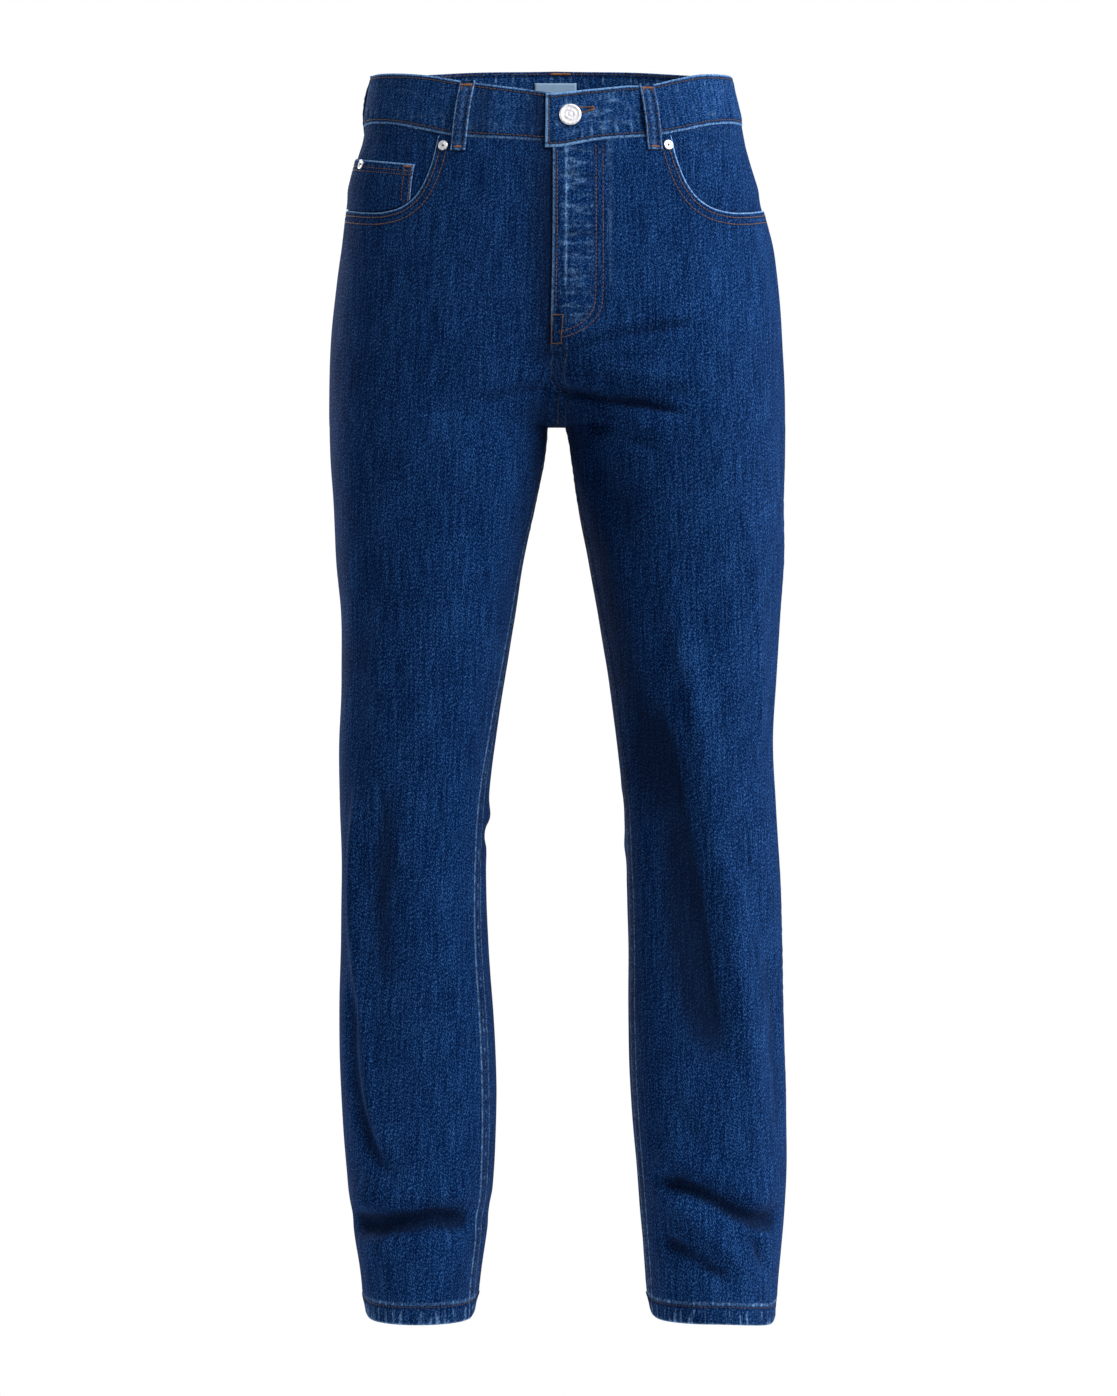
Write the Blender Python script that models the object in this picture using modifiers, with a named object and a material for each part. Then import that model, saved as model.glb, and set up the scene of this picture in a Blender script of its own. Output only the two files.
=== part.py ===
"""Straight leg jeans, hollow as worn: leg panels, yokes, waistband, pockets, loops, hems and metal trim.

The wearer's left is +X and the front faces -Y. The origin is the middle of the waist opening.
Every cloth piece is a wall on one shared body surface, which body_point reads. A place on it is a
side, a panel, how far across the panel it lies (0 at the centre or inseam edge, 1 at the side seam)
and its height. "out" moves it off the surface, outwards.
"""

from collections import namedtuple
from math import pi, radians

import bpy
import numpy as np
from mathutils import Matrix, Vector

# Cloth walls and the space left between pieces
WALL = 0.0015
BAND_WALL = 0.0025
LOOP_WALL = 0.0015
POCKET_WALL = 0.0012
LABEL_WALL = 0.001
GAP = 0.0003
PATCH_GAP = 0.0005
CROTCH_GAP = 0.0008
CROTCH_GAP_REACH = 0.012

# Heights
HEM_Z = -1.033
CROTCH_Z = -0.280
RISE_TOP_Z = -0.10
SHAPED_Z = -0.118
FLY_END_Z = -0.205
HEM_DEPTH = 0.0155
HEM_DIP = 0.0065
HEM_DIP_START = 0.4
HEM_DIP_REACH = 0.5
ANKLE_Z = -0.90

# Shape of the half rings
ROUNDNESS = 0.93
LEG_EVEN_REACH = 0.12
RISE_POWER = 1.6
RING_POINTS = 120
STRIP_POINTS = 10
SMOOTHING_PASSES = 4

# Fly and waistband lap at the centre front
BAND_OUT = 0.0005
FLY_LIFT = WALL + GAP
FLY_WIDTH = 0.045
FLY_END_EASE = 0.012
TAB_DIP = 0.0049
TAB_DIP_REACH = 0.12
TAB_REACH = 0.0080
LAP_FLAT = 0.002
LAP_ACROSS = 0.12

# The waistband's lower end, which sinks under the tab
Underlap = namedtuple("Underlap", "from_centre out")
UNDERLAP = (
    Underlap(-0.0100, -0.0003),
    Underlap(0.0, -0.0008),
    Underlap(0.0100, -0.0018),
    Underlap(0.0200, -0.0026),
    Underlap(0.0290, -0.0030),
)

Side = namedtuple("Side", "name sign")
LEFT = Side("left", 1)
RIGHT = Side("right", -1)
SIDES = (LEFT, RIGHT)
FRONT = "front"
BACK = "back"

# Outline of the body: how far each side reaches from the middle, and the front and back lines
Section = namedtuple("Section", "z right left front back")
SECTIONS = (
    Section(0.036, 0.1545, 0.1475, 0.086, 0.089),
    Section(0.012, 0.1575, 0.1505, 0.090, 0.091),
    Section(-0.012, 0.1610, 0.1560, 0.094, 0.093),
    Section(-0.036, 0.1636, 0.1602, 0.098, 0.097),
    Section(-0.056, 0.1690, 0.1653, 0.101, 0.102),
    Section(-0.080, 0.1750, 0.1726, 0.104, 0.108),
    Section(-0.104, 0.1788, 0.1791, 0.107, 0.114),
    Section(-0.128, 0.1819, 0.1851, 0.110, 0.120),
    Section(-0.152, 0.1853, 0.1887, 0.112, 0.125),
    Section(-0.188, 0.1895, 0.1921, 0.113, 0.128),
    Section(-0.223, 0.1919, 0.1938, 0.112, 0.126),
    Section(-0.259, 0.1923, 0.1951, 0.109, 0.119),
    Section(-0.308, 0.1913, 0.1949, 0.104, 0.104),
    Section(-0.342, 0.1887, 0.1939, 0.100, 0.096),
    Section(-0.393, 0.1862, 0.1941, 0.094, 0.090),
    Section(-0.444, 0.1819, 0.1906, 0.088, 0.084),
    Section(-0.495, 0.1815, 0.1877, 0.082, 0.078),
    Section(-0.546, 0.1836, 0.1847, 0.077, 0.072),
    Section(-0.597, 0.1832, 0.1868, 0.073, 0.067),
    Section(-0.648, 0.1817, 0.1902, 0.070, 0.067),
    Section(-0.716, 0.1822, 0.1928, 0.067, 0.067),
    Section(-0.784, 0.1838, 0.1939, 0.066, 0.067),
    Section(-0.852, 0.1818, 0.1961, 0.066, 0.067),
    Section(-0.903, 0.1781, 0.1964, 0.067, 0.069),
    Section(-0.954, 0.1721, 0.1938, 0.070, 0.073),
    Section(-1.005, 0.1650, 0.1893, 0.073, 0.077),
    Section(-1.040, 0.1622, 0.1877, 0.074, 0.079),
)

# How far each leg's inner side lies from the middle, below the crotch
Inner = namedtuple("Inner", "z right left")
INNERS = (
    Inner(-0.280, 0.0072, 0.0089),
    Inner(-0.291, 0.0076, 0.0115),
    Inner(-0.308, 0.0096, 0.0138),
    Inner(-0.342, 0.0161, 0.0183),
    Inner(-0.393, 0.0269, 0.0276),
    Inner(-0.444, 0.0348, 0.0366),
    Inner(-0.495, 0.0430, 0.0451),
    Inner(-0.546, 0.0507, 0.0516),
    Inner(-0.597, 0.0569, 0.0572),
    Inner(-0.648, 0.0587, 0.0598),
    Inner(-0.716, 0.0570, 0.0616),
    Inner(-0.784, 0.0523, 0.0618),
    Inner(-0.852, 0.0501, 0.0642),
    Inner(-0.903, 0.0516, 0.0684),
    Inner(-0.954, 0.0569, 0.0724),
    Inner(-1.005, 0.0639, 0.0766),
    Inner(-1.040, 0.0667, 0.0786),
)

# Where the seams turn off the outermost and innermost lines of the body, in degrees to the front
SeamTurn = namedtuple("SeamTurn", "z right_side left_side right_inseam left_inseam")
SEAM_TURNS = (
    SeamTurn(0.036, -4, -4, 0, 0),
    SeamTurn(-0.280, -4, -3, 0, 0),
    SeamTurn(-0.400, -4, 6, 8, 6),
    SeamTurn(-0.560, -4, 17, 18, 12),
    SeamTurn(-0.660, -5, 10, 24, 14),
    SeamTurn(-0.800, -6, -2, 26, 15),
    SeamTurn(-1.040, -8, -6, 24, 15),
)

# Top and bottom edges of the waistband, from the centre front round to the centre back
BandEdge = namedtuple("BandEdge", "round top_left top_right bottom")
BAND_EDGES = (
    BandEdge(0.00, -0.0078, -0.0078, -0.0490),
    BandEdge(0.18, -0.0034, -0.0023, -0.0462),
    BandEdge(0.28, -0.0010, 0.0007, -0.0447),
    BandEdge(0.40, 0.0012, 0.0048, -0.0418),
    BandEdge(0.50, 0.0065, 0.0092, -0.0372),
    BandEdge(0.62, 0.0121, 0.0127, -0.0312),
    BandEdge(0.78, 0.0153, 0.0158, -0.0266),
    BandEdge(1.00, 0.0180, 0.0180, -0.0250),
    BandEdge(1.30, 0.0258, 0.0258, -0.0190),
    BandEdge(1.60, 0.0318, 0.0318, -0.0135),
    BandEdge(2.00, 0.0342, 0.0342, -0.0112),
)

# The curved front pocket opening, from the waistband to the side seam
PocketEdge = namedtuple("PocketEdge", "across z")
POCKET_EDGES = (
    PocketEdge(0.450, -0.0400),
    PocketEdge(0.460, -0.0670),
    PocketEdge(0.478, -0.0824),
    PocketEdge(0.508, -0.0936),
    PocketEdge(0.549, -0.1003),
    PocketEdge(0.625, -0.1038),
    PocketEdge(0.720, -0.1026),
    PocketEdge(0.820, -0.0995),
    PocketEdge(0.910, -0.0968),
    PocketEdge(1.000, -0.0950),
)
FACING_MARGIN = 0.42
FACING_FOOT_Z = -0.098
FACING_DEPTH = 0.014
FACING_CLEAR = 0.004
FACING_RISE = 0.016
FACING_RISE_ACROSS = 0.10
FACING_TOP_DROP = 0.0012

# Yoke seam at the side seam and at the centre back
YOKE_SIDE_Z = -0.056
YOKE_BACK_Z = -0.079

# Grid lines across the panels at the hip and down the leg
SEAM_COLUMN = 0.03
FRONT_HIP_COLUMNS = (0, 0.03, 0.12, 0.22, 0.33, 0.42)
FRONT_HIP_COLUMNS += tuple(edge.across for edge in POCKET_EDGES[:-1]) + (0.97, 1)
BACK_COLUMN_COUNT = 14
COLUMNS_EVEN_Z = -0.22
RISE_ROWS = 8
ROWS_UNDER_CROTCH = (0.003, 0.012, 0.028, 0.050)
LEG_ROWS_START = 0.080
LEG_ROWS_END_Z = -0.885
LEG_ROWS = 16
ANKLE_ROWS_START_Z = -0.905
ANKLE_ROWS = 12
CROTCH_EASE = 0.05
CROTCH_EASE_ACROSS = 0.30
CROTCH_EASE_PASSES = 12
STRIP_SHARE = 0.020
STRIP_COLUMN_POWER = 3

# The main folds: a depth below zero is a trough. Tilt is from level, up to the side seam
Fold = namedtuple("Fold", "side panel across z tilt length width depth")
FOLDS = (
    Fold(RIGHT, FRONT, 0.45, -0.9480, 0, 0.070, 0.009, -0.0040),
    Fold(RIGHT, FRONT, 0.45, -0.9260, 0, 0.060, 0.012, 0.0025),
    Fold(RIGHT, FRONT, 0.50, -0.9720, 0, 0.050, 0.013, 0.0020),
    Fold(LEFT, FRONT, 0.45, -0.9640, -48, 0.050, 0.009, 0.0035),
    Fold(LEFT, FRONT, 0.72, -0.9380, -40, 0.030, 0.011, -0.0030),
    Fold(LEFT, FRONT, 0.24, -0.9700, -45, 0.028, 0.011, -0.0025),
    Fold(LEFT, FRONT, 0.34, -0.2620, 5, 0.050, 0.009, -0.0030),
    Fold(LEFT, FRONT, 0.34, -0.2900, 8, 0.045, 0.012, 0.0020),
    Fold(LEFT, BACK, 0.40, -0.3300, -25, 0.060, 0.014, -0.0040),
    Fold(RIGHT, BACK, 0.40, -0.3360, -22, 0.060, 0.014, -0.0040),
    Fold(LEFT, BACK, 0.50, -0.6300, -8, 0.050, 0.014, -0.0035),
    Fold(RIGHT, BACK, 0.50, -0.6420, 6, 0.050, 0.014, -0.0035),
    Fold(LEFT, BACK, 0.45, -0.9500, 12, 0.050, 0.013, -0.0030),
    Fold(RIGHT, BACK, 0.45, -0.9440, -6, 0.055, 0.013, -0.0035),
)

# Five belt loops: distance of the middle from the centre edge, at the top and the bottom
Loop = namedtuple("Loop", "name side panel top bottom")
LOOPS = (
    Loop("belt_loop_front_left", LEFT, FRONT, 0.0767, 0.0838),
    Loop("belt_loop_front_right", RIGHT, FRONT, 0.0735, 0.0818),
    Loop("belt_loop_side_left", LEFT, BACK, 0.1650, 0.1670),
    Loop("belt_loop_side_right", RIGHT, BACK, 0.1820, 0.1860),
    Loop("belt_loop_back", LEFT, BACK, 0.0, 0.0),
)
LOOP_WIDTH = 0.0120
LOOP_TAIL = 0.0125
LOOP_ABOVE = 0.0004
LOOP_ROWS = 10
LoopRise = namedtuple("LoopRise", "along out")
LOOP_RISES = (
    LoopRise(0.00, 0.0008),
    LoopRise(0.10, 0.0010),
    LoopRise(0.25, 0.0028),
    LoopRise(0.50, 0.0034),
    LoopRise(0.72, 0.0024),
    LoopRise(0.86, 0.0009),
    LoopRise(1.00, 0.0004),
)

# Coin pocket on the right facing
COIN_INNER_ACROSS = 0.523
COIN_OUTER_ACROSS = 0.930
COIN_INNER_TOP_Z = -0.0655
COIN_OUTER_TOP_Z = -0.0525
COIN_FOOT_RISE = 0.001
COIN_COLUMNS = 9

# Back pockets, measured from the side seam and down from the yoke
BACK_POCKET_FROM_SIDE = 0.046
BACK_POCKET_TOP_WIDTH = 0.140
BACK_POCKET_FOOT_WIDTH = 0.122
BACK_POCKET_OUTER_Z = -0.100
BACK_POCKET_INNER_Z = -0.112
BACK_POCKET_HEIGHT = 0.128
BACK_POCKET_POINT = 0.024
BACK_POCKET_COLUMNS = 11
BACK_POCKET_ROWS = 9

# Label inside the centre back
LABEL_WIDTH = 0.0365
LABEL_TOP_Z = 0.0237
LABEL_HEIGHT = 0.030

# Fastened button at the lap, and its buttonhole
BUTTON_FROM_CENTRE = 0.0122
BUTTON_Z = -0.0268
BUTTON_RADIUS = 0.0093
SHANK_RADIUS = 0.0018
SHANK_LENGTH = 0.0036
EYE_RADIUS = 0.0024
SLIT_LENGTH = 0.0205
SLIT_WIDTH = 0.0014
HOLE_CUT_DEPTH = 0.0031

# Rivets: distance from the centre edge
Rivet = namedtuple("Rivet", "name side from_centre z out")
RIVETS = (
    Rivet("rivet_left", LEFT, 0.0955, -0.0500, 0.0),
    Rivet("rivet_right", RIGHT, 0.0948, -0.0506, 0.0),
    Rivet("rivet_coin", RIGHT, 0.1830, -0.0607, PATCH_GAP + POCKET_WALL),
)
RIVET_RADIUS = 0.0043

DENIM_BLUE = (0.010, 0.038, 0.140, 1)
FACING_BLUE = (0.012, 0.042, 0.150, 1)
BAND_BLUE = (0.014, 0.048, 0.165, 1)
SILVER = (0.62, 0.62, 0.64, 1)
LABEL_BLUE = (0.42, 0.62, 0.75, 1)


def smooth_step(value):
    """0 below 0, 1 above 1, and a soft rise between."""
    value = np.clip(value, 0, 1)
    return value * value * (3 - 2 * value)


def read_curve(places, values, at):
    """A smooth curve through (places, values), read at the places in at."""
    order = np.argsort(places)
    places = np.asarray(places, float)[order]
    values = np.asarray(values, float)[order]
    slopes = np.gradient(values, places)
    at = np.clip(at, places[0], places[-1])
    first = np.clip(np.searchsorted(places, at) - 1, 0, len(places) - 2)
    step = places[first + 1] - places[first]
    t = (at - places[first]) / step
    rise = (values[first + 1] - values[first]) * smooth_step(t)
    start_slope = slopes[first] * step * t * (1 - t) ** 2
    end_slope = slopes[first + 1] * step * t * t * (t - 1)
    return values[first] + rise + start_slope + end_slope


def read_table(table, column, at, place="z"):
    """One column of a table of named rows, read at the given places."""
    places = [getattr(row, place) for row in table]
    values = [getattr(row, column) for row in table]
    return read_curve(places, values, at)


def opening(z, low):
    """Cosine of the half ring's open angle: 0 where it spans half the body, 1 where the leg closes."""
    if low:
        return np.ones_like(z)
    return np.clip((RISE_TOP_Z - z) / (RISE_TOP_Z - CROTCH_Z), 0, 1) ** RISE_POWER


def rounded(value):
    """A sine or cosine made a little squarer."""
    return np.sign(value) * np.abs(value) ** ROUNDNESS


def leg_width(side, z):
    """Half the width of one leg's ring."""
    return (read_table(SECTIONS, side.name, z) - read_table(INNERS, side.name, z)) / 2


def half_depth(side, z, low):
    """Half the ring from front to back. Both legs have one girth, so the narrower is the deeper."""
    depth = (read_table(SECTIONS, "front", z) + read_table(SECTIONS, "back", z)) / 2
    if not low:
        return depth
    mean_width = (leg_width(LEFT, z) + leg_width(RIGHT, z)) / 2
    free = smooth_step((CROTCH_Z - z) / LEG_EVEN_REACH)
    return np.sqrt(depth**2 + free * (mean_width**2 - leg_width(side, z) ** 2))


def half_ring(side, panel, z, low):
    """Points along a panel's half rings at heights z, from the centre or inseam to the side seam.

    Above the crotch a narrow strip under the rise seam comes first, level with the ring's end.
    The points hold the distance from the middle plane and the depth, as (height, point, 2).
    """
    cos_end = opening(z, low)
    inner = read_table(INNERS, side.name, z)
    if not low:
        inner = inner * smooth_step(cos_end)
    outer = read_table(SECTIONS, side.name, z)
    half_width = (outer - inner) / (1 + rounded(cos_end))
    middle_y = (read_table(SECTIONS, "back", z) - read_table(SECTIONS, "front", z)) / 2
    facing = -1 if panel == FRONT else 1
    inseam_turn = np.radians(read_table(SEAM_TURNS, side.name + "_inseam", z)) * (1 if low else 0)
    side_turn = np.radians(read_table(SEAM_TURNS, side.name + "_side", z))
    start = pi - np.arccos(cos_end) + facing * inseam_turn
    end = -facing * side_turn
    along = np.linspace(0, 1, RING_POINTS)
    angle = start[:, None] + (end - start)[:, None] * along
    x = (outer - half_width)[:, None] + half_width[:, None] * rounded(np.cos(angle))
    depth = half_depth(side, z, low)[:, None] * rounded(np.sin(angle))
    if not low:
        depth = np.where(angle > pi / 2, np.maximum(depth, CROTCH_GAP / 2), depth)
    y = middle_y[:, None] + facing * depth
    if not low:
        strip = np.linspace(0, 1, STRIP_POINTS, endpoint=False)
        x = np.concatenate([inner[:, None] * strip, x], axis=1)
        y = np.concatenate([np.repeat(y[:, :1], STRIP_POINTS, axis=1), y], axis=1)
    ring = np.stack([x, y], axis=2)
    for _ in range(SMOOTHING_PASSES):
        ring[:, 1:-1] = (ring[:, :-2] + 2 * ring[:, 1:-1] + ring[:, 2:]) / 4
    return ring


def fold_relief(side, panel, across, width, z):
    """Height of the folds at a place on the cloth."""
    relief = np.zeros_like(z)
    for fold in FOLDS:
        if (fold.side, fold.panel) != (side, panel):
            continue
        level = (across - fold.across) * width
        up = z - fold.z
        tilt = radians(fold.tilt)
        along = level * np.cos(tilt) + up * np.sin(tilt)
        over = up * np.cos(tilt) - level * np.sin(tilt)
        relief += fold.depth * np.exp(-((along / fold.length) ** 2) - (over / fold.width) ** 2)
    return relief


def fly_relief(side, panel, from_centre, z):
    """The left front is lifted over the right one along the fly."""
    if (side, panel) != (LEFT, FRONT):
        return np.zeros_like(z)
    beside = 1 - smooth_step(from_centre / FLY_WIDTH)
    return FLY_LIFT * beside * smooth_step((z - FLY_END_Z) / FLY_END_EASE + 1)


def ring_place(ring, arc, distance):
    """The point at a distance along one half ring."""
    return np.array([np.interp(distance, arc, ring[:, axis]) for axis in (0, 1)])


def body_point(side, panel, across, z, out=0.0, low=False, plain=False):
    """Points on the body surface, moved out along its level normal, in the shape of across and z.

    plain leaves out the folds and the fly's lift, as under the waistband.
    """
    across, z, out = np.broadcast_arrays(np.asarray(across, float), z, out)
    rings = half_ring(side, panel, z.ravel(), low)
    steps = np.linalg.norm(np.diff(rings, axis=1), axis=2)
    arcs = np.concatenate([np.zeros((len(rings), 1)), np.cumsum(steps, axis=1)], axis=1)
    width = arcs[:, -1]
    first = GAP / 2
    if low:
        first += CROTCH_GAP / 2 * np.exp(-(((z.ravel() - CROTCH_Z) / CROTCH_GAP_REACH) ** 2))
    distance = first + across.ravel() * (width - first - GAP / 2)
    reach = 0.001
    facing = -1 if panel == FRONT else 1
    points = np.empty((len(rings), 3))
    relief = out.ravel().copy()
    if not plain:
        relief += fold_relief(side, panel, across.ravel(), width, z.ravel())
        relief += fly_relief(side, panel, distance, z.ravel())
    for i, (ring, arc) in enumerate(zip(rings, arcs)):
        before = ring_place(ring, arc, max(distance[i] - reach, 0))
        after = ring_place(ring, arc, min(distance[i] + reach, width[i]))
        tangent = (after - before) / np.linalg.norm(after - before)
        normal = np.array([-tangent[1], tangent[0]]) * facing
        points[i, :2] = ring_place(ring, arc, distance[i]) + relief[i] * normal
        points[i, 2] = z.ravel()[i]
    points[:, 0] *= side.sign
    return points.reshape(across.shape + (3,))


def panel_width(side, panel, z):
    """Length of a panel's half ring above the crotch, at one height."""
    ring = half_ring(side, panel, np.array([z]), False)[0]
    return np.linalg.norm(np.diff(ring, axis=0), axis=1).sum()


def point_from_centre(side, panel, distance, z, out=0.0, plain=True):
    """A point at a distance from the centre seam; a distance below zero lies on the other side."""
    if distance < 0:
        side = RIGHT if side is LEFT else LEFT
    across = abs(distance) / panel_width(side, panel, z)
    return body_point(side, panel, across, z, out, plain=plain)


def band_edge(side, panel, across, edge):
    """Height of the waistband's top or bottom edge."""
    around = across if panel == FRONT else 2 - np.asarray(across)
    column = f"top_{side.name}" if edge == "top" else edge
    height = read_table(BAND_EDGES, column, around, place="round")
    if (side, panel, edge) == (LEFT, FRONT, "bottom"):
        height = height - TAB_DIP * np.exp(-((across / TAB_DIP_REACH) ** 2))
    return height


def yoke_seam(across):
    """Height of the yoke's lower edge, which dips to the centre back."""
    return YOKE_BACK_Z + (YOKE_SIDE_Z - YOKE_BACK_Z) * np.asarray(across) ** 1.2


def pocket_edge(across):
    """Height of the front pocket opening."""
    return np.interp(across, [edge.across for edge in POCKET_EDGES], [edge.z for edge in POCKET_EDGES])


def even_columns(count):
    """Evenly spaced columns with a narrow one beside each seam."""
    return np.concatenate([[0], np.linspace(SEAM_COLUMN, 1 - SEAM_COLUMN, count - 2), [1]])


def clear_of_strip(columns, z):
    """Columns moved off the strip under the rise seam, so that they run on into the leg."""
    closing = (opening(np.array(z), False) if z >= CROTCH_Z else 0.0) ** STRIP_COLUMN_POWER
    strip = STRIP_SHARE * closing
    return np.concatenate([columns[:1], strip + (1 - strip) * columns[1:]])


def panel_columns(panel, z):
    """Columns across a panel at a height: shaped for the pocket at the hip, even down the leg."""
    if panel == BACK:
        return clear_of_strip(even_columns(BACK_COLUMN_COUNT), z)
    hip = np.array(FRONT_HIP_COLUMNS)
    share = smooth_step((SHAPED_Z - z) / (SHAPED_Z - COLUMNS_EVEN_Z))
    return clear_of_strip(hip + share * (even_columns(len(hip)) - hip), z)


def rise_heights():
    """Row heights from the hip to the crotch, evenly spaced along the curve of the rise."""
    turn = np.linspace(0, pi / 2, RISE_ROWS + 1)[1:]
    return CROTCH_Z + (SHAPED_Z - CROTCH_Z) * (1 - np.sin(turn))


def leg_heights():
    """Row heights down the leg: close under the crotch and at the ankle's folds."""
    under_crotch = CROTCH_Z - np.array(ROWS_UNDER_CROTCH)
    leg = np.linspace(CROTCH_Z - LEG_ROWS_START, LEG_ROWS_END_Z, LEG_ROWS)
    ankle = np.linspace(ANKLE_ROWS_START_Z, HEM_Z, ANKLE_ROWS)
    return np.concatenate([under_crotch, leg, ankle])


def hung(side, columns, z):
    """Heights of a row near the hem: the left leg's end hangs lower at the side seam."""
    if side is RIGHT:
        return np.full_like(columns, z)
    dip = HEM_DIP * smooth_step((columns - HEM_DIP_START) / HEM_DIP_REACH)
    return z - dip * smooth_step((ANKLE_Z - z) / (ANKLE_Z - HEM_Z))


def eased(points, columns):
    """Rows about the crotch drawn level with their neighbours, more so away from the rise seam."""
    points = points.copy()
    free = smooth_step((columns - SEAM_COLUMN) / CROTCH_EASE_ACROSS)
    for _ in range(CROTCH_EASE_PASSES):
        z = points[:, :, 2]
        share = (z[1:-1] - z[2:]) / (z[:-2] - z[2:])
        level = points[2:] + share[:, :, None] * (points[:-2] - points[2:])
        near = np.exp(-(((z[1:-1] - CROTCH_Z) / CROTCH_EASE) ** 2)) * free / 2
        points[1:-1, :, :2] += near[:, :, None] * (level - points[1:-1])[:, :, :2]
    return points


def panel_points(side, panel, top_edge, top_rows):
    """Grid of points of a leg panel, from its top edge to the hem."""
    columns = panel_columns(panel, SHAPED_Z)
    top = top_edge(columns)
    rows = []
    for share in np.linspace(0, 1, top_rows + 1):
        rows.append(body_point(side, panel, columns, top + share * (SHAPED_Z - top)))
    for z in rise_heights():
        rows.append(body_point(side, panel, panel_columns(panel, z), z))
    for z in leg_heights():
        columns = panel_columns(panel, z)
        rows.append(body_point(side, panel, columns, hung(side, columns, z), low=True))
    return eased(np.array(rows), columns)


def principled(name, colour, roughness, metallic):
    """A Principled material."""
    material = bpy.data.materials.new(name)
    material.use_nodes = True
    shader = material.node_tree.nodes["Principled BSDF"]
    shader.inputs["Base Color"].default_value = colour
    shader.inputs["Roughness"].default_value = roughness
    shader.inputs["Metallic"].default_value = metallic
    material.diffuse_color = colour
    return material


def denim(name, colour=DENIM_BLUE):
    """Dull woven cotton."""
    return principled(name, colour, 0.9, 0.0)


def polished_metal(name):
    """Bright silver-coloured metal."""
    return principled(name, SILVER, 0.3, 1.0)


def grid_mesh(name, points, outward, closed=False):
    """A mesh over a grid of points, with its faces turned to the outward direction's side.

    outward is 1 where the rows run down and the columns run to the right seen from outside.
    """
    rows, columns = points.shape[:2]
    steps = columns if closed else columns - 1
    faces = []
    for row in range(rows - 1):
        for column in range(steps):
            after = (column + 1) % columns
            corners = [row * columns + column, (row + 1) * columns + column]
            corners += [(row + 1) * columns + after, row * columns + after]
            faces.append(corners[::outward])
    mesh = bpy.data.meshes.new(name)
    mesh.from_pydata([tuple(point) for point in points.reshape(-1, 3)], [], faces)
    mesh.shade_smooth()
    return mesh


def add_object(name, mesh, material, collection):
    """An object for a mesh, in a collection."""
    mesh.materials.clear()
    mesh.materials.append(material)
    obj = bpy.data.objects.new(name, mesh)
    collection.objects.link(obj)
    return obj


def add_cloth(name, points, outward, wall, material, collection, closed=False):
    """A cloth piece: an open surface with a wall that grows inwards."""
    obj = add_object(name, grid_mesh(name, points, outward, closed), material, collection)
    solidify = obj.modifiers.new("wall", "SOLIDIFY")
    solidify.thickness = wall
    solidify.offset = -1
    return obj


def outward_of(side, panel):
    """Which way a grid that runs down and away from the centre faces."""
    return side.sign * (1 if panel == FRONT else -1)


def add_front(side, collection):
    """A front leg panel, cut away above the pocket opening."""

    def top_edge(columns):
        under_band = band_edge(side, FRONT, columns, "bottom") - GAP
        return np.where(columns <= POCKET_EDGES[0].across, under_band, pocket_edge(columns))

    points = panel_points(side, FRONT, top_edge, 5)
    material = denim(f"denim_front_{side.name}")
    add_cloth(f"front_{side.name}", points, outward_of(side, FRONT), WALL, material, collection)


def add_back(side, collection):
    """A back leg panel, below the yoke."""
    points = panel_points(side, BACK, lambda columns: yoke_seam(columns) - GAP, 3)
    material = denim(f"denim_back_{side.name}")
    add_cloth(f"back_{side.name}", points, outward_of(side, BACK), WALL, material, collection)


def add_yoke(side, collection):
    """The back yoke between the waistband and the back panel."""
    columns = panel_columns(BACK, SHAPED_Z)
    top = band_edge(side, BACK, columns, "bottom") - GAP
    bottom = yoke_seam(columns)
    rows = [body_point(side, BACK, columns, top + t * (bottom - top)) for t in np.linspace(0, 1, 4)]
    material = denim(f"denim_yoke_{side.name}")
    add_cloth(f"yoke_{side.name}", np.array(rows), outward_of(side, BACK), WALL, material, collection)


def facing_inset(columns, z):
    """The facing lies under the front at the pocket's edge and comes level with it at the seams."""
    above = smooth_step((z - pocket_edge(columns) - FACING_CLEAR) / FACING_RISE)
    beside = smooth_step((columns - POCKET_EDGES[1].across) / FACING_RISE_ACROSS)
    return -(WALL + GAP) * (1 - above * beside)


def add_facing(side, collection):
    """The cloth behind the front pocket's opening."""
    columns = np.array([c for c in FRONT_HIP_COLUMNS if c >= FACING_MARGIN])
    top = band_edge(side, FRONT, columns, "bottom") - FACING_TOP_DROP
    bottom = np.minimum(pocket_edge(columns) - FACING_DEPTH, FACING_FOOT_Z)
    rows = []
    for share in np.linspace(0, 1, 7):
        z = top + share * (bottom - top)
        rows.append(body_point(side, FRONT, columns, z, facing_inset(columns, z)))
    material = denim(f"denim_facing_{side.name}", FACING_BLUE)
    name = f"pocket_facing_{side.name}"
    add_cloth(name, np.array(rows), outward_of(side, FRONT), WALL, material, collection)


def coin_pocket_points():
    """Grid of the coin pocket, from its straight top down to the pocket opening."""
    columns = np.linspace(COIN_INNER_ACROSS, COIN_OUTER_ACROSS, COIN_COLUMNS)
    share = (columns - COIN_INNER_ACROSS) / (COIN_OUTER_ACROSS - COIN_INNER_ACROSS)
    top = COIN_INNER_TOP_Z + share * (COIN_OUTER_TOP_Z - COIN_INNER_TOP_Z)
    bottom = pocket_edge(columns) + COIN_FOOT_RISE
    rows = []
    for along in np.linspace(0, 1, 5):
        z = top + along * (bottom - top)
        out = facing_inset(columns, z) + PATCH_GAP + POCKET_WALL
        rows.append(body_point(RIGHT, FRONT, columns, z, out))
    return np.array(rows)


def add_coin_pocket(collection):
    """The small pocket on the right facing."""
    material = denim("denim_coin_pocket")
    outward = outward_of(RIGHT, FRONT)
    add_cloth("coin_pocket", coin_pocket_points(), outward, POCKET_WALL, material, collection)


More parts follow.
